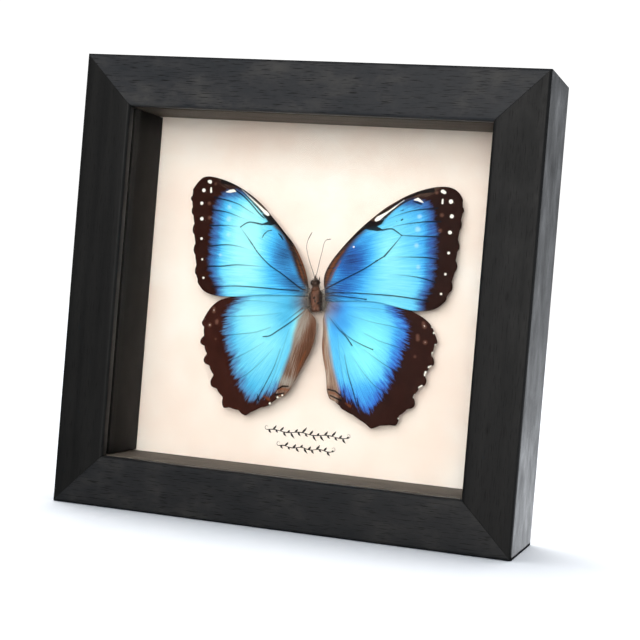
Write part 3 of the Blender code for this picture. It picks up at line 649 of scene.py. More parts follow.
RIGHT_HINDWING = {
    "costa": [(4.2, -4.0), (6.0, -0.6), (13.0, 0.6), (23.0, 1.0), (32.0, -0.4), (38.5, -3.4), (43.2, -5.8),
              (46.2, -8.8)],
    "tips": [(48.5, -13.8, 1.2), (47.9, -22.3, 1.5), (45.4, -30.0, 1.9), (41.6, -39.2, 1.5), (35.2, -46.9, 0.6),
             (25.7, -49.1, 0.4), (13.8, -42.8, 0.4), (8.4, -39.2, 0)],
    "inner": [(7.2, -36.6), (6.7, -33.0), (6.0, -29.0), (4.6, -24.0), (3.8, -19.5), (3.7, -14.5), (3.5, -11.5),
              (3.3, -9.0), (3.7, -6.4)],
    "fan": (2, -1),
    "blue": [(-9, 6), (31, 6), (31, -2.4), (32.5, -3.8), (35, -6), (36.8, -9.2), (36.7, -13), (36, -16.5), (35, -20),
             (34.2, -24), (32, -27.5), (31.8, -31), (29.5, -34), (28.5, -37), (26.5, -40.5), (24, -42.8),
             (21.5, -42.2), (19, -40.5), (16, -38.5), (13.5, -36.6), (-9, -34)],
    "band": [(-9, 8), (3, -4), (4.2, -8), (5.4, -12), (6.6, -17), (7.6, -22), (9.0, -27), (10.8, -31.5), (12.4, -36),
             (11, -44), (-9, -44)],
    "veins": [
        (0.3, 0.9, [(5.4, -7.5), (8.2, -10.6), (10.4, -12.8), (13, -15), (15.7, -18.2)]),
        (0.2, 0.8, [(7.4, -8.6), (11.5, -13), (15, -15.6), (20, -17.7), (24, -19)]),
        (0.3, 0.5, [(20, -13), (26, -15.4), (31, -16.6), (37, -18)]),
        (0.2, 0.5, [(16, -22), (20, -27), (25, -32), (29.5, -34.6)]),
        (0.3, 0.9, [(13, -22), (15, -29), (17.4, -35), (19.6, -41)]),
        (0.2, 0.3, [(9.6, -14), (10.6, -20), (12.4, -28), (15, -36)]),
        (0.2, 0.5, [(13, -6.5), (22, -8.4), (30, -9.4), (37, -10.6)]),
        (0.15, 0.4, [(10, -3.8), (18, -3.2), (28, -3.6), (34, -5.6)]),
        (0.2, 0.6, [(20, -19), (26, -22.6), (30.5, -25), (34.5, -26.6)]),
    ],
    "white": [[(42.9, -8.2, 0.1), (43.1, -8.6, 0.15)], [(43.8, -14.5, 0.15)], [(46.1, -8.4, 0.45)],
              [(46.9, -10.6, 0.45)], [(47.9, -15.2, 0.5)], [(47.1, -18.2, 0.5), (47.2, -19.0, 0.5)],
              [(46.8, -23.2, 0.35), (46.0, -23.7, 0.4)], [(45.0, -25.7, 0.45), (44.8, -26.8, 0.45)],
              [(43.9, -31.0, 0.35), (42.9, -31.8, 0.4)], [(41.5, -34.6, 0.3), (41.3, -35.6, 0.4)],
              [(36.0, -44.2, 0.4)]],
    "pale": [[(42.5, -7.2, 0.4), (43.1, -8.6, 0.6)], [(40.7, -12.2, 0.4), (40.9, -13.6, 0.5)], [(43.8, -14.5, 0.6)],
             [(40.3, -20.2, 0.3)]],
    "black": [[(7.6, -35.8, 0.3), (10.5, -36.2, 0.35), (12.6, -37.6, 0.3)], [(19.4, -38, 0.15), (20.2, -41, 0.35)],
              [(8.6, -38, 0.3), (13, -39.6, 0.35)]],
    "rust": [[(8.4, -37.0, 0.3), (10.6, -37.2, 0.35), (12.2, -38.2, 0.2)], [(15, -40.4, 0.15), (16.8, -41.4, 0.4)],
             [(4.0, -17, 0.1), (4.6, -22, 0.2), (6.4, -28, 0.1)]],
    # Small lobes along the inner fold: painted highlights and painted shade, the fold itself being flat.
    "shine": [(23, -13, 9, 8, 0.34), (21, -24, 7, 8, 0.4), (10, -10, 5, 5, -0.2), (23, -35, 7, 5, -0.16),
              (33, -18, 3, 12, -0.24), (28, -39, 5, 5, -0.2), (8, -4, 4, 3, -0.3), (4, -22, 1, 8, -0.4),
              (5.6, -17, 1, 7, 0.3), (7.4, -29, 1, 5, 0.2), (8, -36, 2, 1.6, -0.4)],
}


def through(points, steps=6):
    """A smooth line through every point."""
    points = [Vector(point) for point in points]
    padded = [points[0]] + points + [points[-1]]
    line = []
    for a, b, c, d in zip(padded, padded[1:], padded[2:], padded[3:]):
        for step in range(steps):
            t = step / steps
            line.append(b + t * (c - a) / 2 + t ** 2 * (a - 2.5 * b + 2 * c - d / 2)
                        + t ** 3 * (3 * b - a - 3 * c + d) / 2)
    return line + [points[-1]]


def scallops(tips, depth, notch):
    """The outer margin. It dips between one vein end and the next, with two notches either side of a bump."""
    line = []
    for (x, z, dip), (next_x, next_z, _) in zip(tips, tips[1:]):
        start, end = Vector((x, z)), Vector((next_x, next_z))
        along = (end - start).normalized()
        inward = Vector((along.y, -along.x))
        count = max(8, round((end - start).length / WEAVE))
        for step in range(count):
            share = step / count
            ragged = 0.09 * noise.noise(Vector((x + share * 9, z * 3, 4)))
            bite = notch * dip * sum(math.exp(-((share - middle) / 0.09) ** 2) for middle in NOTCHES)
            hollow = dip * depth * (1 - math.cos(2 * math.pi * share)) / 2
            line.append(start.lerp(end, share) + inward * (hollow + bite + ragged))
    return line


def fringe(tips, half):
    """White tufts of fringe scales: a stroke by each notch of the deeper scallops."""
    marks = []
    for (x, z, dip), (next_x, next_z, _) in zip(tips, tips[1:]):
        start, end = Vector((x, z)), Vector((next_x, next_z))
        along = (end - start).normalized()
        inward = Vector((along.y, -along.x))
        if dip < 0.7 or (end - start).length < 4.5:
            continue
        for share, reach in zip(NOTCHES, (0.42, 0.32)):
            hollow = dip * 0.5 * (1 - math.cos(2 * math.pi * share)) / 2
            spot = start.lerp(end, share) + inward * (hollow + half * 0.45)
            marks.append([(*(spot - along * reach), half * 0.8), (*(spot + along * reach), half)])
    return marks


def evenly(line, spacing):
    """A line cut again into steps of nearly equal length, its two ends kept."""
    line = [Vector(point) for point in line]
    reached = [0.0]
    for start, end in zip(line, line[1:]):
        reached.append(reached[-1] + (end - start).length)
    count = max(1, round(reached[-1] / spacing))
    wanted = np.linspace(0, reached[-1], count + 1)
    return np.stack([np.interp(wanted, reached, [point[axis] for point in line]) for axis in range(2)], 1)


def inside(points, ring):
    """Which points lie inside a closed ring."""
    ring = np.array(ring, float)
    within = np.zeros(len(points), bool)
    for (x, z), (next_x, next_z) in zip(ring, np.roll(ring, -1, 0)):
        crosses = (z > points[:, 1]) != (next_z > points[:, 1])
        if next_z != z:
            within ^= crosses & (points[:, 0] < x + (points[:, 1] - z) * (next_x - x) / (next_z - z))
    return within


def nearest(points, line, reach=None):
    """Distance from each point to a broken line, and how far along it that is, 0 to 1. reach saves work."""
    line = np.array(line, float)[:, :2]
    if reach:
        close = np.all((points > line.min(0) - reach) & (points < line.max(0) + reach), axis=1)
        best, share = np.full(len(points), 99.0), np.zeros(len(points))
        best[close], share[close] = nearest(points[close], line)
        return best, share
    best = np.full(len(points), 1e9)
    share = np.zeros(len(points))
    lengths = np.linalg.norm(np.diff(line, axis=0), axis=1)
    total = max(lengths.sum(), 1e-9)
    reached = 0.0
    for start, end, length in zip(line, line[1:], lengths):
        offset = points - start
        along = np.clip(offset @ (end - start) / max(length ** 2, 1e-12), 0, 1)
        offset -= along[:, None] * (end - start)
        far = np.hypot(offset[:, 0], offset[:, 1])
        closer = far < best
        best[closer] = far[closer]
        share[closer] = ((reached + along * length) / total)[closer]
        reached += length
    return best, share


def ring_depth(points, ring):
    """How deep each point lies inside a ring; negative outside it."""
    far, _ = nearest(points, list(ring) + [ring[0]])
    return np.where(inside(points, ring), far, -far)


def stroke_depth(points, strokes):
    """How deep each point lies inside any of the round-ended strokes; negative outside them."""
    best = np.full(len(points), -9.0)
    for stroke in strokes:
        line = np.array(stroke, float)
        if len(line) == 1:
            line = np.vstack([line, line + (0.001, 0, 0)])
        for start, end in zip(line, line[1:]):
            span = end[:2] - start[:2]
            along = np.clip((points - start[:2]) @ span / max(span @ span, 1e-12), 0, 1)
            far = np.linalg.norm(points - start[:2] - along[:, None] * span, axis=1)
            best = np.maximum(best, start[2] + (end[2] - start[2]) * along - far)
    return best


def wing(name, stand_in, shape, side, root_y, finish, tuft, worn):
    """A membrane with raised veins and what its scales need, in place of the CAD's stand_in. side is -1 left,
    1 right, tuft the half-width of its white fringe tufts, and worn how far its fringe has gone, 0 to 1.
    fan is the point that its rows of scales run out from."""
    outline = through(shape["costa"] + [shape["tips"][0][:2]])[:-1]
    outline += scallops(shape["tips"], 0.5 + 0.5 * worn, 0.45 * worn)
    outline += through([shape["tips"][-1][:2]] + shape["inner"])
    rim = evenly(outline + [outline[0]], WEAVE)[:-1]
    closed_rim = np.vstack([rim, rim[:1]])
    low, high = rim.min(0), rim.max(0)
    grid = np.array([(x + (WEAVE / 2 if number % 2 else 0), z)
                     for number, z in enumerate(np.arange(low[1], high[1], WEAVE_ROWS))
                     for x in np.arange(low[0], high[0], WEAVE)])
    grid = grid[inside(grid, rim)]
    grid = grid[nearest(grid, closed_rim)[0] > WEAVE * 0.55]
    veins = []
    for dark_start, dark_end, line in shape["veins"]:
        points = evenly(through(line), WEAVE)
        points = points[inside(points, rim)]
        points = points[nearest(points, closed_rim)[0] > WEAVE * 0.5]
        veins.append((dark_start, dark_end, points))
        grid = grid[nearest(grid, points, 1)[0] > WEAVE * 0.6]
    edges = []
    count = len(rim)
    for _, _, points in veins:
        edges += [(count + place, count + place + 1) for place in range(len(points) - 1)]
        count += len(points)
    flat = np.vstack([rim] + [points for _, _, points in veins] + [grid])
    made = delaunay_2d_cdt([Vector(point) for point in flat], edges, [list(range(len(rim)))], 1, 1e-5)
    flat = np.array([tuple(point) for point in made[0]])
    faces = np.array(made[2])
    corners = flat[faces]
    area = np.cross(corners[:, 1] - corners[:, 0], corners[:, 2] - corners[:, 0])
    faces[area * side < 0] = faces[area * side < 0][:, ::-1]

    dark = np.zeros(len(flat))
    gap = np.full(len(flat), 99.0)
    for dark_start, dark_end, points in veins:
        far, share = nearest(flat, points, 5)
        taper = VEIN_WIDTH * (1.5 - 0.6 * share)
        dark_here = dark_start + (dark_end - dark_start) * share
        dark = np.maximum(dark, dark_here * np.clip(1 - far / taper, 0, 1))
        gap = np.minimum(gap, far)
    edge, _ = nearest(flat, closed_rim)
    shine = np.full(len(flat), 0.5)
    for x, z, reach_x, reach_z, amount in shape["shine"]:
        shine += amount * np.exp(-((flat[:, 0] - x) / reach_x) ** 2 - ((flat[:, 1] - z) / reach_z) ** 2)
    out = flat - np.array(shape["fan"], float)
    flow = np.stack([np.hypot(*out.T), np.arctan2(out[:, 1], out[:, 0]) * 40, np.zeros(len(flat))], 1)
    fields = {
        "blue": ring_depth(flat, shape["blue"]),
        "band": ring_depth(flat, shape["band"]),
        "vein": dark,
        "white": stroke_depth(flat, shape["white"] + fringe(shape["tips"], tuft)),
        "pale": stroke_depth(flat, shape["pale"]),
        "black": stroke_depth(flat, shape["black"]),
        "rust": stroke_depth(flat, shape["rust"]),
        "shine": shine,
        "root": np.hypot(flat[:, 0] - 1.5, (flat[:, 1] + 1.5) * 0.8),
    }

    wave = np.array([noise.noise(Vector((x * 0.09, z * 0.09, side * 3 + root_y * 900))) for x, z in flat])
    lift = COCKLE * wave
    for height, reach in (VEIN_TENT, VEIN_RIB):
        lift += height * np.exp(-(gap / reach) ** 2)
    lift *= np.clip(edge / 1.5, 0.15, 1)
    back = root_y + flat[:, 0] * MM * math.sin(WING_SLOPE) - lift * MM
    thick = MEMBRANE * np.clip(edge / 0.8, 0.25, 1)
    x = SPECIMEN.x + side * flat[:, 0] * MM * math.cos(WING_SLOPE)
    z = SPECIMEN.z + flat[:, 1] * MM
    total = len(flat)
    ends = {}
    for face in faces:
        for start, end in zip(face, np.roll(face, -1)):
            ends[(int(start), int(end))] = True
    walls = [(end, start, start + total, end + total) for start, end in ends if (end, start) not in ends]
    mesh = bpy.data.meshes.new(name)
    mesh.from_pydata(np.vstack([np.stack([x, back, z], 1), np.stack([x, back + thick, z], 1)]).tolist(), [],
                     faces.tolist() + (faces[:, ::-1] + total).tolist() + walls)
    mesh.validate()
    fields["under"] = np.concatenate([np.zeros(total), np.ones(total)])
    for field, values in fields.items():
        layer = mesh.attributes.new(field, "FLOAT", "POINT")
        layer.data.foreach_set("value", np.resize(values, total * 2).astype(np.float32))
    layer = mesh.attributes.new("flow", "FLOAT_VECTOR", "POINT")
    layer.data.foreach_set("vector", np.vstack([flow, flow]).astype(np.float32).ravel())
    mesh.shade_smooth()
    piece(name, mesh, finish, stand_in)


def scale_finish(name, blues, violet, margin, band, jagged):
    """Wing scales. blues run from the deepest to the brightest, violet is what they fade to by the margin,
    margin and band are browns from dark to light, and jagged is how far the blue runs out in streaks, in mm."""
    made, tree, shader = surface(name, IOR=1.45, Specular_IOR_Level=0.08)
    field = {mark: node(tree, "ShaderNodeAttribute", attribute_name=mark).outputs["Fac"]
             for mark in ("blue", "band", "vein", "white", "pale", "black", "rust", "shine", "root", "under")}
    flow = node(tree, "ShaderNodeAttribute", attribute_name="flow").outputs["Vector"]
    place = node(tree, "ShaderNodeTexCoord").outputs["Object"]
    swing = {}
    for grain, scale, detail in (("streak", (0.11, 2.4, 1), 4),     # rows of scales, 9 mm by 0.4 mm
                                 ("feather", (0.24, 1.0, 1), 3)):   # ends of the blue, 4 mm by 1 mm
        run = node(tree, "ShaderNodeMapping", {"Vector": flow, "Scale": scale})
        run = node(tree, "ShaderNodeTexNoise", {"Vector": run, "Scale": 1, "Detail": detail, "Roughness": 0.6})
        swing[grain] = node(tree, "ShaderNodeMapRange", {"Value": run, "From Min": 0.28, "From Max": 0.72,
                                                         "To Min": -1.0, "To Max": 1.0})
    # Single scales are 0.1 mm wide, too fine to show: these specks are 0.28 mm, three of them.
    dust = node(tree, "ShaderNodeTexNoise", {"Vector": place, "Scale": 3600, "Detail": 2})
    dusty = node(tree, "ShaderNodeMapRange", {"Value": dust, "From Min": 0.25, "From Max": 0.75, "To Min": -1.0,
                                              "To Max": 1.0})
    bloom = node(tree, "ShaderNodeTexNoise", {"Vector": place, "Scale": 230, "Detail": 3})

    tone = node(tree, "ShaderNodeMath", {0: swing["streak"], 1: 0.15, 2: field["shine"]}, operation="MULTIPLY_ADD")
    tone = node(tree, "ShaderNodeMath", {0: dusty, 1: 0.05, 2: tone}, operation="MULTIPLY_ADD")
    colour = node(tree, "ShaderNodeValToRGB", {"Fac": tone},
                  stops=list(zip((0.0, 0.98, 0.22, 0.45, 0.7), (blues[0], blues[4], *blues[1:4]))))
    ragged = field["blue"]
    for shaken, amount in ((swing["feather"], jagged), (swing["streak"], jagged * 0.5), (dusty, 0.2)):
        ragged = node(tree, "ShaderNodeMath", {0: shaken, 1: amount, 2: ragged}, operation="MULTIPLY_ADD")
    near = node(tree, "ShaderNodeMapRange", {"Value": ragged, "From Min": 0.4, "From Max": 5.0,
                                             "To Min": 0.9, "To Max": 0.0}, interpolation_type="SMOOTHSTEP")
    colour = node(tree, "ShaderNodeMix", {"Factor": near, "A": colour, "B": linear(violet)}, data_type="RGBA")
    brown = node(tree, "ShaderNodeMix", {"Factor": bloom, "A": linear(margin[0]), "B": linear(margin[1])},
                 data_type="RGBA")
    past = node(tree, "ShaderNodeMapRange", {"Value": ragged, "From Min": -1.3, "From Max": 1.6},
                interpolation_type="SMOOTHSTEP")
    colour = node(tree, "ShaderNodeMix", {"Factor": past, "A": brown, "B": colour}, data_type="RGBA")
    faint = node(tree, "ShaderNodeMix", {"Factor": past, "A": linear("#84594b"), "B": linear("#b2dcf2")},
                 data_type="RGBA")
    # The fold's browns follow shine, so the lobes along the hindwings' inner fold paint highlights and shade on it.
    fold = node(tree, "ShaderNodeMath", {0: field["shine"], 1: -0.5}, operation="ADD")
    fold = node(tree, "ShaderNodeMath", {0: swing["streak"], 1: 0.6, 2: fold}, operation="MULTIPLY_ADD")
    fold = node(tree, "ShaderNodeMapRange", {"Value": fold, "From Min": -1.0, "From Max": 1.0})
    fold = node(tree, "ShaderNodeValToRGB", {"Fac": fold}, stops=[(0.15, band[0]), (0.85, band[2]), (0.5, band[1])])
    layers = [
        # mark, where it starts and is full in mm, strength, swing along the streaks, colour
        ("vein", 0.04, 0.66, 0.92, 0.04, linear("#0b1524")),
        ("band", -1.0, 1.2, 1.0, 0.6, fold),
        ("pale", -0.7, 0.5, 0.55, 0.1, faint),
        ("rust", -0.5, 0.5, 0.75, 0.2, linear("#7e4526")),
        ("black", -0.16, 0.2, 0.96, 0.1, linear("#0c090a")),
        ("white", -0.16, 0.18, 1.0, 0.08, linear("#fbf6ee")),
        ("under", 0.4, 0.6, 1.0, 0.0, linear("#5a4334")),
    ]
    for mark, start, full, strength, shake, tint in layers:
        cover = node(tree, "ShaderNodeMath", {0: swing["streak"], 1: shake, 2: field[mark]}, operation="MULTIPLY_ADD")
        cover = node(tree, "ShaderNodeMapRange", {"Value": cover, "From Min": start, "From Max": full,
                                                  "To Max": strength}, interpolation_type="SMOOTHSTEP")
        colour = node(tree, "ShaderNodeMix", {"Factor": cover, "A": colour, "B": tint}, data_type="RGBA")
    close = node(tree, "ShaderNodeMath", {0: swing["streak"], 1: 1.8, 2: field["root"]}, operation="MULTIPLY_ADD")
    close = node(tree, "ShaderNodeMapRange", {"Value": close, "From Min": 2.4, "From Max": 11.0,
                                              "To Min": 0.85, "To Max": 0.0}, interpolation_type="SMOOTHSTEP")
    colour = node(tree, "ShaderNodeMix", {"Factor": close, "A": colour, "B": fold}, data_type="RGBA")
    gloss = node(tree, "ShaderNodeMapRange", {"Value": dust, "To Min": 0.45, "To Max": 0.65})
    relief = node(tree, "ShaderNodeMath", {0: dust, 1: 0.6, 2: swing["streak"]}, operation="MULTIPLY_ADD")
    bump = node(tree, "ShaderNodeBump", {"Height": relief, "Strength": 0.25, "Distance": 0.04 * MM})
    wire(tree, shader, Base_Color=colour, Roughness=gloss, Normal=bump)
    return made


left_fore = scale_finish("blue scales, left forewing", ["#285888", "#3582c0", "#46b2ec", "#74d6f6", "#9cecf9"],
                         "#3b5c9a", ("#220d08", "#31150d"), ("#1d1310", "#3a2b26", "#5c4a40"), 1.0)
right_fore = scale_finish("blue scales, right forewing", ["#21376e", "#2765b2", "#3ca0e4", "#66c8f2", "#88e0f6"],
                          "#344f92", ("#1b0905", "#290f09"), ("#1f1411", "#44312a", "#69503f"), 1.1)
left_hind = scale_finish("blue scales, left hindwing", ["#2b6190", "#3c96c6", "#4fb4e2", "#74d2ee", "#90e6f3"],
                         "#4d7cb0", ("#2a1009", "#3b1b14"), ("#45281a", "#6c4a39", "#989088"), 1.5)
right_hind = scale_finish("blue scales, right hindwing", ["#27508f", "#3585d6", "#47a8ea", "#6cd2f3", "#84ecf8"],
                          "#3260c2", ("#210c07", "#30140e"), ("#573a2e", "#8f7464", "#b8a89b"), 1.6)
wing("left_hindwing", "hindwing_left", LEFT_HINDWING, -1, HIND_Y, left_hind, 0.1, 1.0)
wing("right_hindwing", "hindwing_right", RIGHT_HINDWING, 1, HIND_Y, right_hind, 0.3, 0.8)
wing("left_forewing", "forewing_left", LEFT_FOREWING, -1, FORE_Y, left_fore, 0.1, 0.8)
wing("right_forewing", "forewing_right", RIGHT_FOREWING, 1, FORE_Y, right_fore, 0.16, 0.7)


# ---------------------------------------------------------------------------------------------------------
# Body. Head and thorax in one, dry and hollow, of thin brown cuticle under down. Three pin holes show in
# the back of the thorax, the eyes are dark and bare, and two hairy palps stand up between them.

LEAN = math.radians(7)                      # the head end leans to the left
BODY_PLACE = Matrix.Translation((SPECIMEN.x, FORE_Y, SPECIMEN.z)) @ Matrix.Rotation(-LEAN, 4, "Y")
BODY_LUMPS = [
    # centre right, forward (towards the glass), up; half-sizes; all mm
    ((0, 0, -2.0), (2.3, 2.6, 4.3)),        # thorax
    ((-1.1, -0.2, -0.4), (1.3, 2.0, 2.4)),  # shoulders
    ((1.1, -0.2, -0.4), (1.3, 2.0, 2.4)),
    ((0, 0.2, 2.2), (1.7, 1.8, 1.1)),       # collar
    ((0, 0.1, 4.2), (1.35, 1.4, 1.5)),      # head
    ((-0.7, 0.1, -5.4), (1.5, 1.7, 1.2)),   # hind end of the thorax
    ((0.7, 0.1, -5.4), (1.5, 1.7, 1.2)),
]
BODY_VOXEL = 0.11 * MM
BACK_HALF = 1.35                                        # half-width of the paler back, mm
FURROW = (0.16, 0.18)                                   # depth and half-width of the groove down it, mm
EYE_MIDDLE, EYE_HALF = (1.15, 0.35, 4.75), (0.78, 0.95, 1.05)
PIN_HOLES = [(0.1, -1.1), (0.7, -2.5), (1.9, -3.1)]     # right of and above the wing roots, mm
PIN_HOLE_REACH = 0.5                                    # mm
PIN_HOLE_DEPTH = 0.5                                    # mm


def lump(made, middle, half, turns=32, rings=20):
    """Adds an ellipsoid in the leaning body's frame: right, towards the glass, up, in mm."""
    place = Matrix.Translation((middle[0] * MM, -middle[1] * MM, middle[2] * MM))
    place = place @ Matrix.Diagonal((half[0] * MM, half[1] * MM, half[2] * MM, 1))
    bmesh.ops.create_uvsphere(made, u_segments=turns, v_segments=rings, radius=1, matrix=BODY_PLACE @ place)


def off_middle(spot):
    """How far right of the leaning body's middle line a spot is, in mm from the wing roots."""
    return spot.x + spot.z * math.tan(LEAN)


made = bmesh.new()
for middle, half in BODY_LUMPS:
    lump(made, middle, half)
source = bpy.data.objects.new("thorax source", settled(made, "thorax source"))
skin = source.modifiers.new("skin", "REMESH")
skin.mode = "VOXEL"
skin.voxel_size = BODY_VOXEL
soften = source.modifiers.new("soften", "SMOOTH")
soften.iterations = 6
mesh = baked(source, "thorax_and_head")
hole_depth, darkness = [], []
outward = [vert.normal.copy() for vert in mesh.vertices]
for vert, normal in zip(mesh.vertices, outward):
    spot = (vert.co - SPECIMEN) / MM
    facing = vert.co.y < FORE_Y
    far = min(math.hypot(spot.x - x, spot.z - z) for x, z in PIN_HOLES)
    hole = min(1, max(0, 1.6 - 1.6 * (far / PIN_HOLE_REACH) ** 2)) if facing else 0
    hole_depth.append(hole)
    flank = min(1, max(0, (abs(off_middle(spot)) - BACK_HALF) / 0.6))
    head = min(0.75, max(0, spot.z - 2.9))
    darkness.append(max(flank, head))
    rough = noise.fractal(vert.co * 900, 1.0, 2.0, 4) * 0.06
    furrow = FURROW[0] * math.exp(-(off_middle(spot) / FURROW[1]) ** 2) if facing and spot.z < 1 else 0
    vert.co += normal * (rough - furrow - hole * PIN_HOLE_DEPTH) * MM
mesh.attributes.new("hole", "FLOAT", "POINT").data.foreach_set("value", hole_depth)
mesh.attributes.new("flank", "FLOAT", "POINT").data.foreach_set("value", darkness)
mesh.shade_smooth()

# Dry cuticle under short scales: red brown down the back, nearly black on the flanks and the head.
cuticle, tree, shader = surface("brown cuticle", IOR=1.5)
place = node(tree, "ShaderNodeTexCoord").outputs["Object"]
down = node(tree, "ShaderNodeMapping", {"Vector": place, "Scale": (2600, 2600, 700)})      # 0.4 mm by 1.4 mm
down = node(tree, "ShaderNodeTexNoise", {"Vector": down, "Scale": 1, "Detail": 4, "Roughness": 0.65})
tint = node(tree, "ShaderNodeValToRGB", {"Fac": down},
            stops=[(0.3, "#3a2010"), (0.75, "#8a5740"), (0.52, "#5f3a29")])
flank = node(tree, "ShaderNodeAttribute", attribute_name="flank").outputs["Fac"]
tint = node(tree, "ShaderNodeMix", {"Factor": flank, "A": tint, "B": linear("#160d09")}, data_type="RGBA")
# The pin holes are painted near black: painted shade inside dents only 0.5 mm deep. The palps take the same darkening
# all along.
hole = node(tree, "ShaderNodeAttribute", attribute_name="hole").outputs["Fac"]
tint = node(tree, "ShaderNodeMix", {"Factor": hole, "A": tint, "B": linear("#080403")}, data_type="RGBA")
gloss = node(tree, "ShaderNodeMapRange", {"Value": down, "To Min": 0.45, "To Max": 0.75})
bump = node(tree, "ShaderNodeBump", {"Height": down, "Strength": 0.4, "Distance": 0.08 * MM})
wire(tree, shader, Base_Color=tint, Roughness=gloss, Normal=bump)
thorax = piece("thorax_and_head", mesh, cuticle, "butterfly_body")

# Eyes: bare, dark and faintly glossy, set with hexagonal facets too fine to see one by one.
eye_skin, tree, shader = surface("faceted eye", Roughness=0.28, IOR=1.5)
place = node(tree, "ShaderNodeTexCoord").outputs["Object"]
facets = node(tree, "ShaderNodeTexVoronoi", {"Vector": place, "Scale": 9000})
tint = node(tree, "ShaderNodeValToRGB", {"Fac": facets}, stops=[(0.1, "#2b1712"), (0.7, "#120b09")])
bump = node(tree, "ShaderNodeBump", {"Height": facets, "Strength": 0.3, "Distance": 0.02 * MM})
wire(tree, shader, Base_Color=tint, Normal=bump)
made = bmesh.new()
for side in (-1, 1):
    lump(made, (side * EYE_MIDDLE[0], *EYE_MIDDLE[1:]), EYE_HALF, 40, 24)
mesh = settled(made, "eyes")
mesh.shade_smooth()
piece("eyes", mesh, eye_skin)


# ---------------------------------------------------------------------------------------------------------
# Down. Fine hairs stand on the thorax and head and lie out over the roots of the wings. They are brown
# down the middle and grey at the sides, and longest where the wings join.

NECK = 2.6                                  # above the wing roots, mm
TUFT_STRIP = 0.8                            # width of the strip that a tuft grows from, mm
# Hairs to a square metre, then how long one is, its half-width over its length, and how far it strays. They
# are some three times as thick as real ones, which would not show.
THORAX_HAIR = {"Density": 2.2e7, "Length": 1.1 * MM, "Thickness": 0.022, "Spread": 0.4}
TUFT_HAIR = {"Density": 2.8e7, "Length": 2.6 * MM, "Thickness": 0.015, "Spread": 0.3}


def hair_tree():
    """Geometry nodes that plant curved, tapering hairs on a surface, along its lay, as thick as its fur says."""
    made, given = growing_tree("down", ("Density", "Float"), ("Length", "Float"), ("Thickness", "Float"),
                               ("Spread", "Float"), ("Seed", "Int"), ("Hair", "Material"))
    fur = node(made, "GeometryNodeInputNamedAttribute", {"Name": "fur"}, data_type="FLOAT")
    density = node(made, "ShaderNodeMath", {0: given.outputs["Density"], 1: fur}, operation="MULTIPLY")
    points = node(made, "GeometryNodeDistributePointsOnFaces",
                  {"Mesh": given.outputs["Geometry"], "Density": density, "Seed": given.outputs["Seed"]})
    lay = node(made, "GeometryNodeInputNamedAttribute", {"Name": "lay"}, data_type="FLOAT_VECTOR")
    spread = node(made, "FunctionNodeRandomValue",
                  {"Min": (-1, -1, -1), "Max": (1, 1, 1), "Seed": given.outputs["Seed"]}, data_type="FLOAT_VECTOR")
    spread = node(made, "ShaderNodeVectorMath", {0: spread, "Scale": given.outputs["Spread"]}, operation="SCALE")
    way = node(made, "ShaderNodeVectorMath", {0: lay, 1: spread}, operation="ADD")
    turn = node(made, "FunctionNodeAlignRotationToVector", {"Vector": way}, axis="Z")
    # One hair, a metre long here, is scaled to its length as it is planted.
    hair = node(made, "GeometryNodeCurveQuadraticBezier",
                {"Resolution": 4, "Start": (0, 0, 0), "Middle": (0, 0.02, 0.5), "End": (0, 0.22, 1)})
    along = node(made, "GeometryNodeSplineParameter").outputs["Factor"]
    taper = node(made, "ShaderNodeMapRange", {"Value": along, "To Min": given.outputs["Thickness"], "To Max": 0.004})
    hair = node(made, "GeometryNodeSetCurveRadius", {"Curve": hair, "Radius": taper})
    round_section = node(made, "GeometryNodeCurvePrimitiveCircle", {"Resolution": 3, "Radius": 1.0})
    radius = node(made, "GeometryNodeInputRadius")
    hair = node(made, "GeometryNodeCurveToMesh", {"Curve": hair, "Profile Curve": round_section, "Scale": radius,
                                                  "Fill Caps": True})
    length = node(made, "FunctionNodeRandomValue", {2: 0.5, 3: 1.25, "Seed": given.outputs["Seed"]},
                  data_type="FLOAT")
    length = node(made, "ShaderNodeMath", {0: length, 1: given.outputs["Length"]}, operation="MULTIPLY")
    planted = node(made, "GeometryNodeInstanceOnPoints", {"Points": points.outputs["Points"], "Instance": hair,
                                                          "Rotation": turn, "Scale": length})
    return finished_tree(made, planted, given.outputs["Hair"])


def hair_finish(name, dark, light):
    """Dry hair: dull, with a soft sheen, some strands darker than others."""
    made, tree, shader = surface(name, Roughness=0.6, IOR=1.5, Sheen_Weight=0.2, Sheen_Roughness=0.4)
    place = node(tree, "ShaderNodeTexCoord").outputs["Object"]
    strands = node(tree, "ShaderNodeTexNoise", {"Vector": place, "Scale": 1700, "Detail": 2})
    tint = node(tree, "ShaderNodeValToRGB", {"Fac": strands}, stops=[(0.35, dark), (0.65, light)])
    wire(tree, shader, Base_Color=tint)
    return made


def patch(name, mesh, measure):
    """A copy of a mesh with fur and lay on each point: measure gives both from the point and its normal."""
    copy = mesh.copy()
    furs, lays = [], []
    for vert in copy.vertices:
        fur, lay = measure(vert.co, vert.normal)
        furs.append(fur)
        lays += list(lay)
    copy.attributes.new("fur", "FLOAT", "POINT").data.foreach_set("value", furs)
    copy.attributes.new("lay", "FLOAT_VECTOR", "POINT").data.foreach_set("vector", lays)
    return bpy.data.objects.new(name, copy)


def on_thorax(point, normal):
    """Short down on the sides and the head, hardly any on the rubbed back, combed towards the tail."""
    spot = (point - SPECIMEN) / MM
    if spot.z > NECK:
        return 0.8, normal * 0.55 + Vector((0.1 * spot.x, -0.2, 0.9))
    rubbed = math.exp(-(off_middle(spot) / 1.7) ** 4)
    fur = (1 - 0.99 * rubbed) if normal.y < 0 else 0.5
    return fur, normal * 0.55 + Vector((0.15 * spot.x, 0, -1.0))


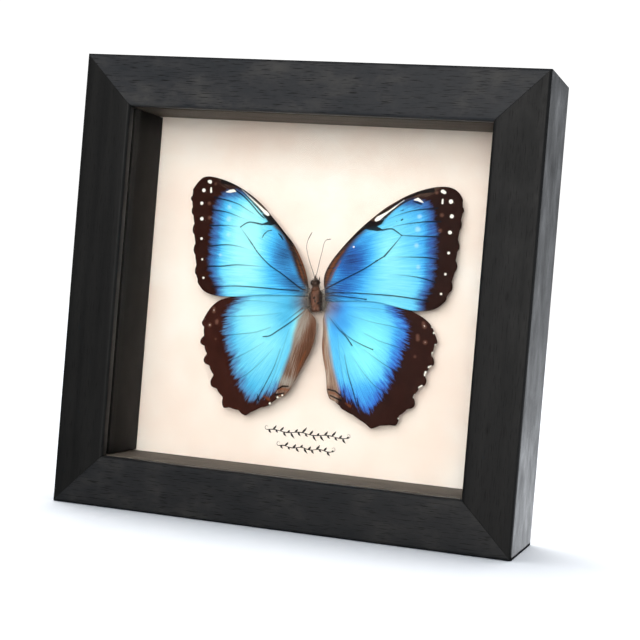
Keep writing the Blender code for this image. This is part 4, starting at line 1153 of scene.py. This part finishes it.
planting = hair_tree()
brown_down = hair_finish("brown down", "#150d09", "#5c3d2b")
grey_down = hair_finish("grey down", "#2e211a", "#a0958b")
source = patch("thorax patch", thorax.data, on_thorax)
mesh = grown("thorax_down", source, planting, Seed=3, Hair=brown_down, **THORAX_HAIR)
piece("thorax_down", mesh, brown_down)


def root_tufts(name, side, spine, seed):
    """Hairs that fan out over one side's wing roots from a narrow strip beside the thorax. The strip's spine
    is points out from the middle, up from the wing roots and back from them, in mm."""
    made = bmesh.new()
    lay = made.verts.layers.float_vector.new("lay")
    fur = made.verts.layers.float.new("fur")
    for start, end in zip(spine, spine[1:]):
        corners = []
        for (x, z, y), out in ((start, 0), (start, TUFT_STRIP), (end, TUFT_STRIP), (end, 0)):
            point = SPECIMEN + Vector((side * (x + out), 0, z)) * MM
            point.y = FORE_Y + y * MM
            corner = made.verts.new(point)
            corner[lay] = Vector((side * 1.0, -0.22, (z + 1.5) * 0.16))
            corner[fur] = 1.0
            corners.append(corner)
        made.faces.new(corners)
    source = bpy.data.objects.new(name, settled(made, name))
    mesh = grown(name, source, planting, Seed=seed, Hair=grey_down, **TUFT_HAIR)
    piece(name, mesh, grey_down)


root_tufts("root_tuft_left", -1,
           [(2.0, 2.4, -0.3), (2.1, 0.5, -0.4), (2.3, -1.5, -0.4), (2.2, -3.5, -0.2), (1.8, -5.4, 0.1)], 5)
root_tufts("root_tuft_right", 1,
           [(1.6, 2.0, -0.3), (2.2, 0.2, -0.4), (2.6, -1.8, -0.4), (2.7, -3.8, -0.2), (2.4, -5.6, 0.1)], 6)


# ---------------------------------------------------------------------------------------------------------
# Antennae. Two fine jointed threads from between the eyes, ending in slim clubs, dried in the curve they
# were set in.

# Right of the wing roots and up from them, from the head to the tip, in mm.
ANTENNAE = {
    "antenna_left": [(-0.7, 5.6), (-1.0, 7.3), (-1.6, 9.1), (-2.7, 11.8), (-3.8, 14.9), (-4.5, 18.0), (-4.1, 20.7),
                     (-2.6, 23.8)],
    "antenna_right": [(-0.2, 5.6), (-0.1, 7.4), (0.3, 9.4), (1.0, 13.4), (1.8, 17.0), (2.3, 19.7), (3.2, 21.2),
                      (5.1, 21.7)],
}
ANTENNA_BASE = frame_low.y + 24.3 * MM      # they come forward from their base to their tip
ANTENNA_FORWARD = 2.3 * MM
PALPS = [((-0.55, 5.2), (-0.75, 7.9), 0.42), ((0.9, 5.0), (1.15, 7.3), 0.3), ((0.1, 5.2), (0.0, 7.0), 0.3)]
PALP_FORWARD = 0.6 * MM                     # in front of the forewing roots
THREAD_SIDES = 10


def thread_tree():
    """Geometry nodes that draw a path as a round thread, as thick as the path's radius says."""
    made, given = growing_tree("thread", ("Sides", "Int"), ("Skin", "Material"))
    section = node(made, "GeometryNodeCurvePrimitiveCircle", {"Resolution": given.outputs["Sides"], "Radius": 1.0})
    radius = node(made, "GeometryNodeInputRadius")
    tube = node(made, "GeometryNodeCurveToMesh", {"Curve": given.outputs["Geometry"], "Profile Curve": section,
                                                  "Scale": radius, "Fill Caps": True})
    return finished_tree(made, tube, given.outputs["Skin"])


# Antennal cuticle: thin horn colour, darker at each joint.
horn, tree, shader = surface("antennal cuticle", Roughness=0.45, IOR=1.5)
place = node(tree, "ShaderNodeTexCoord").outputs["Object"]
rings = node(tree, "ShaderNodeTexWave", {"Vector": place, "Scale": 450, "Distortion": 1.0}, bands_direction="Z")
tint = node(tree, "ShaderNodeValToRGB", {"Fac": rings}, stops=[(0.2, "#3c332c"), (0.8, "#7a6c60")])
wire(tree, shader, Base_Color=tint)
threads = thread_tree()
for name, route in ANTENNAE.items():
    line = through(route, 8)
    path = []
    for step, (x, z) in enumerate(line):
        share = step / (len(line) - 1)
        club = math.exp(-((share - 0.93) / 0.07) ** 2) * 0.09
        path.append((SPECIMEN.x + x * MM, ANTENNA_BASE - ANTENNA_FORWARD * share, SPECIMEN.z + z * MM,
                     (0.13 - 0.045 * share + club) * MM))
    mesh = grown(name, drawn_paths(name, [path]), threads, Sides=THREAD_SIDES, Skin=horn)
    mesh.shade_smooth()
    piece(name, mesh, horn, name)

# Palps: two short hairy feelers between the eyes and the stump of the tongue, drawn as tapering spikes.
paths = []
for start, end, half in PALPS:
    path = []
    for step in range(9):
        share = step / 8
        path.append((SPECIMEN.x + (start[0] + (end[0] - start[0]) * share) * MM, FORE_Y - PALP_FORWARD,
                     SPECIMEN.z + (start[1] + (end[1] - start[1]) * share) * MM,
                     half * MM * (1 - share ** 1.6) + 0.02 * MM))
    paths.append(path)
mesh = grown("palps", drawn_paths("palps", paths), threads, Sides=THREAD_SIDES, Skin=cuticle)
mesh.shade_smooth()
mesh.attributes.new("hole", "FLOAT", "POINT").data.foreach_set("value", [0.75] * len(mesh.vertices))
piece("palps", mesh, cuticle)


# ---------------------------------------------------------------------------------------------------------
# Backing board. A sheet of standard hardboard, its smooth side out. It drops into the rebate behind the
# card, and only the tabs hold it there.

BOARD_EASE = 0.25 * MM

# Hardboard: pressed brown fibre, smooth but mottled, with darker shreds a few millimetres long.
hardboard, tree, shader = surface("tempered hardboard", IOR=1.5)
place = node(tree, "ShaderNodeTexCoord").outputs["Object"]
fibre = node(tree, "ShaderNodeTexNoise", {"Vector": place, "Scale": 700, "Detail": 6, "Roughness": 0.7,
                                          "Distortion": 1.2})
blotch = node(tree, "ShaderNodeTexNoise", {"Vector": place, "Scale": 60, "Detail": 4})
tint = node(tree, "ShaderNodeValToRGB", {"Fac": fibre},
            stops=[(0.3, "#5f4029"), (0.7, "#93694a"), (0.5, "#7b5539")])
dusk = node(tree, "ShaderNodeMapRange", {"Value": blotch, "From Min": 0.3, "From Max": 0.7, "To Max": 0.3})
tint = node(tree, "ShaderNodeMix", {"Factor": dusk, "A": tint, "B": linear("#513620")}, data_type="RGBA")
gloss = node(tree, "ShaderNodeMapRange", {"Value": fibre, "To Min": 0.48, "To Max": 0.72})
bump = node(tree, "ShaderNodeBump", {"Height": fibre, "Strength": 0.35, "Distance": 0.06 * MM})
wire(tree, shader, Base_Color=tint, Roughness=gloss, Normal=bump)
board = piece("hardboard_back", eased_box("backing_board", BOARD_EASE), hardboard, "backing_board")


# ---------------------------------------------------------------------------------------------------------
# Tabs. Eight tabs stamped from zinc-plated steel strip, driven into the rails two to a side and pressed
# flat over the backing board. Each has rounded free corners and a pressed rib.

TAB_CORNER = 1.8 * MM
TAB_RIB = 0.22 * MM                         # how far the pressed rib stands up
TAB_WEAVE = 0.6 * MM                        # spacing of the tab's points, and half-width of the rib


def tab_mesh(length, width, gauge):
    """One tab, its driven edge at -Z and its free edge at +Z, lying over the board at +Y."""
    made = bmesh.new()
    ring = [Vector((-length / 2, -width / 2)), Vector((length / 2, -width / 2))]
    ring += arc((length / 2, width / 2), (length / 2, -width / 2), (-length / 2, width / 2), TAB_CORNER)
    ring += arc((-length / 2, width / 2), (length / 2, width / 2), (-length / 2, -width / 2), TAB_CORNER)
    sheet_face = made.faces.new([made.verts.new((x, 0, z)) for x, z in ring])
    bmesh.ops.triangulate(made, faces=[sheet_face])
    for axis, size in ((0, length), (2, width)):
        normal = Vector((axis == 0, 0, axis == 2))
        count = round(size / TAB_WEAVE)
        for number in range(1, count):
            bmesh.ops.bisect_plane(made, geom=made.verts[:] + made.edges[:] + made.faces[:],
                                   plane_co=normal * (size * (number / count - 0.5)), plane_no=normal)
    for vert in made.verts:
        past_end = max(abs(vert.co.x) - length * 0.2, 0) / (0.5 * MM)
        off_line = (vert.co.z - width * 0.18) / TAB_WEAVE
        vert.co.y += TAB_RIB * math.exp(-past_end ** 2 - off_line ** 2)
    shell = bmesh.ops.extrude_face_region(made, geom=made.faces[:])
    for item in shell["geom"]:
        if isinstance(item, bmesh.types.BMVert):
            item.co.y -= gauge
    bmesh.ops.recalc_face_normals(made, faces=made.faces)
    mesh = settled(made, "tab")
    smooth_faces(mesh)
    return mesh


def driven_tree():
    """Geometry nodes that set one stamping at each point, turned about the depth."""
    made, given = growing_tree("driven tabs", ("Stamping", "Object"), ("Steel", "Material"))
    stamping = node(made, "GeometryNodeObjectInfo", {"Object": given.outputs["Stamping"]})
    turn = node(made, "GeometryNodeInputNamedAttribute", {"Name": "turn"}, data_type="FLOAT")
    turn = node(made, "ShaderNodeCombineXYZ", {"Y": turn})
    turn = node(made, "FunctionNodeEulerToRotation", {"Euler": turn})
    driven = node(made, "GeometryNodeInstanceOnPoints", {"Points": given.outputs["Geometry"],
                                                         "Instance": stamping.outputs["Geometry"], "Rotation": turn})
    return finished_tree(made, driven, given.outputs["Steel"])


# Bright zinc plate on rolled steel: pale grey, with faint crystals a millimetre or two across and scuffs.
zinc, tree, shader = surface("bright zinc plate", Metallic=1.0)
place = node(tree, "ShaderNodeTexCoord").outputs["Object"]
crystals = node(tree, "ShaderNodeTexVoronoi", {"Vector": place, "Scale": 800}, feature="F1")
scuff = node(tree, "ShaderNodeTexNoise", {"Vector": place, "Scale": 500, "Detail": 5, "Roughness": 0.7})
tint = node(tree, "ShaderNodeMix", {"Factor": crystals.outputs["Color"], "A": linear("#b9bbba"),
                                    "B": linear("#d3d4d1")}, data_type="RGBA")
gloss = node(tree, "ShaderNodeMapRange", {"Value": scuff, "To Min": 0.22, "To Max": 0.5})
bump = node(tree, "ShaderNodeBump", {"Height": scuff, "Strength": 0.2, "Distance": 0.03 * MM})
wire(tree, shader, Base_Color=tint, Roughness=gloss, Normal=bump)

tab_nodes, spots, turns = [], [], []
for side, turn in (("bottom", 0), ("left", 90), ("top", 180), ("right", -90)):
    for number in (1, 2):
        tab_nodes.append(f"tab_{side}_{number}")
        low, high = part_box(tab_nodes[-1])
        spots.append(Vector(((low.x + high.x) / 2, high.y, (low.z + high.z) / 2)))
        turns.append(math.radians(turn))
low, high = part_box("tab_bottom_1")
stamping = bpy.data.objects.new("stamping", tab_mesh(high.x - low.x, high.z - low.z, high.y - low.y))
mesh = bpy.data.meshes.new("tab spots")
mesh.from_pydata(spots, [], [])
mesh.attributes.new("turn", "FLOAT", "POINT").data.foreach_set("value", turns)
mesh = grown("steel_tabs", bpy.data.objects.new("tab spots", mesh), driven_tree(), Stamping=stamping, Steel=zinc)
bpy.data.objects.remove(stamping)
piece("steel_tabs", mesh, zinc, *tab_nodes)


# ---------------------------------------------------------------------------------------------------------
# Hanger. A sawtooth strip of the same plated steel across the middle of the top rail, held by two
# round-headed steel nails. Its toothed middle is pressed out from the wood.

HANGER_EASE = 0.1 * MM
WELD = 0.001 * MM                           # points closer than this are one
# Out from the nail's axis, and back from the top of its head, in mm.
NAIL_PROFILE = [(0, 0), (0.5, -0.02), (1.0, -0.09), (1.35, -0.2), (1.55, -0.34), (1.6, -0.43), (1.5, -0.5),
                (0.62, -0.5), (0.6, -0.6), (0.6, -7.5), (0, -9.0)]

made = bmesh.new()
made.from_mesh(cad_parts["sawtooth_hanger"].data)
bmesh.ops.remove_doubles(made, verts=made.verts, dist=WELD)
bmesh.ops.dissolve_limit(made, angle_limit=math.radians(2), verts=made.verts, edges=made.edges)
source = bpy.data.objects.new("hanger source", settled(made, "hanger source"))
eased = source.modifiers.new("eased", "BEVEL")
eased.width = HANGER_EASE
eased.segments = 2
eased.limit_method = "ANGLE"
eased.angle_limit = math.radians(40)
mesh = baked(source, "sawtooth_hanger_strip")
smooth_faces(mesh)
piece("sawtooth_hanger_strip", mesh, zinc, "sawtooth_hanger")

for side in ("left", "right"):
    low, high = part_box(f"hanger_nail_{side}")
    made = bmesh.new()
    line = [made.verts.new((radius * MM, height * MM, 0)) for radius, height in NAIL_PROFILE]
    for start, end in zip(line, line[1:]):
        made.edges.new((start, end))
    bmesh.ops.spin(made, geom=made.verts[:] + made.edges[:], axis=(0, 1, 0), cent=(0, 0, 0), angle=math.tau,
                   steps=36)
    bmesh.ops.remove_doubles(made, verts=made.verts, dist=WELD)
    bmesh.ops.recalc_face_normals(made, faces=made.faces)
    bmesh.ops.translate(made, verts=made.verts, vec=((low.x + high.x) / 2, high.y, (low.z + high.z) / 2))
    mesh = settled(made, f"nail_{side}")
    smooth_faces(mesh)
    piece(f"nail_{side}", mesh, zinc, f"hanger_nail_{side}")


# ---------------------------------------------------------------------------------------------------------
# Studio. A white paper floor under a soft overhead sun that lights only the paper. Large soft boxes stand in
# front, high and level, and at the left. Small cool ones on the right graze the frame's side and back.

FLOOR_HALF = 4                              # metres
FLOOR_DROP = 0.1 * MM                       # below the frame, so that the two never touch

made = bmesh.new()
bmesh.ops.create_grid(made, x_segments=1, y_segments=1, size=FLOOR_HALF)
mesh = settled(made, "floor")
floor = bpy.data.objects.new("floor", mesh)
floor.location = (0, 0, -FLOOR_DROP)
bpy.context.scene.collection.objects.link(floor)
# White seamless paper: matt, with a barely visible tooth.
floor_paper, tree, shader = surface("white seamless paper", Roughness=0.9, IOR=1.4, Specular_IOR_Level=0.1)
place = node(tree, "ShaderNodeTexCoord").outputs["Object"]
tooth = node(tree, "ShaderNodeTexNoise", {"Vector": place, "Scale": 40, "Detail": 4})
tint = node(tree, "ShaderNodeValToRGB", {"Fac": tooth}, stops=[(0.3, "#f7f8f9"), (0.7, "#fbfbfc")])
wire(tree, shader, Base_Color=tint)
floor.data.materials.append(floor_paper)
floor.visible_glossy = False
floor.visible_transmission = False


def soft_box(name, place, aim, width, height, power, colour):
    """A rectangular area light, out of the camera's sight. Sizes in metres, power in watts."""
    light = bpy.data.lights.new(name, "AREA")
    light.shape = "RECTANGLE"
    light.size, light.size_y = width, height
    light.energy = power
    light.color = linear(colour)[:3]
    made = bpy.data.objects.new(name, light)
    made.location = place
    made.rotation_euler = (Vector(aim) - Vector(place)).to_track_quat("-Z", "Y").to_euler()
    made.visible_camera = False
    bpy.context.scene.collection.objects.link(made)
    return made


large_boxes = [
    soft_box("key", (-0.1, -1.45, 0.85), (0, 0, 0.08), 1.2, 0.6, 8.3, "#fffcfa"),
    soft_box("fill", (0.2, -1.45, 0.25), (0, 0, 0.08), 0.66, 0.46, 9.0, "#fffaf5"),
    soft_box("left", (-1.1, 0.45, 0.5), (-0.09, 0, 0.09), 0.8, 0.8, 5, "#f6f8fa"),
]
soft_box("edge", (1.3, -0.24, 0.12), (0.09, 0, 0.06), 0.34, 0.24, 1.2, "#eef5fd")
soft_box("side", (0.4, 1.1, 0.22), (0.09, 0, 0.1), 0.7, 0.44, 1.4, "#f2f6fc")
soft_box("low side", (0.3, 0.48, 0.001), (0.3, 0.48, 1), 0.42, 1, 4.6, "#f2f6fc")
overhead = bpy.data.lights.new("overhead", "SUN")
overhead.energy = 3.6
overhead.angle = math.radians(40)
made = bpy.data.objects.new("overhead", overhead)
made.rotation_euler = (math.radians(-8), math.radians(-6), 0)
bpy.context.scene.collection.objects.link(made)
paper_only = bpy.data.collections.new("lit from overhead")
paper_only.objects.link(floor)
made.light_linking.receiver_collection = paper_only
off_paper = bpy.data.collections.new("lit by the large boxes")
off_paper.objects.link(floor)
off_paper.collection_objects[0].light_linking.link_state = "EXCLUDE"
for made in large_boxes:
    made.light_linking.receiver_collection = off_paper

# The room is white to the camera and a dim, cool fill to everything else.
sky = bpy.data.worlds.new("studio")
bpy.context.scene.world = sky
sky.use_nodes = True
tree = sky.node_tree
tree.nodes.clear()
seen = node(tree, "ShaderNodeLightPath").outputs["Is Camera Ray"]
strength = node(tree, "ShaderNodeMapRange", {"Value": seen, "To Min": 0.34, "To Max": 1.1})
tint = node(tree, "ShaderNodeMix", {"Factor": seen, "A": linear("#d9eaff"), "B": linear("#ffffff")}, data_type="RGBA")
light = node(tree, "ShaderNodeBackground", {"Color": tint, "Strength": strength})
node(tree, "ShaderNodeOutputWorld", {"Surface": light})
sky.cycles_visibility.glossy = False
sky.cycles_visibility.transmission = False

# A short telephoto lens, half a metre in front of the frame and to its right, level with its middle.
lens = bpy.data.cameras.new("camera")
lens.lens = 83.014
lens.sensor_width = 36
lens.clip_start = 0.01
camera = bpy.data.objects.new("camera", lens)
camera.matrix_world = Matrix((
    (0.951185, -0.083623, 0.297075, 0.173521),
    (0.297400, -0.008832, -0.954712, -0.540205),
    (0.082460, 0.996458, 0.016469, 0.087884),
    (0, 0, 0, 1),
))
bpy.context.scene.collection.objects.link(camera)
bpy.context.scene.camera = camera
bpy.context.scene.view_settings.view_transform = "Standard"
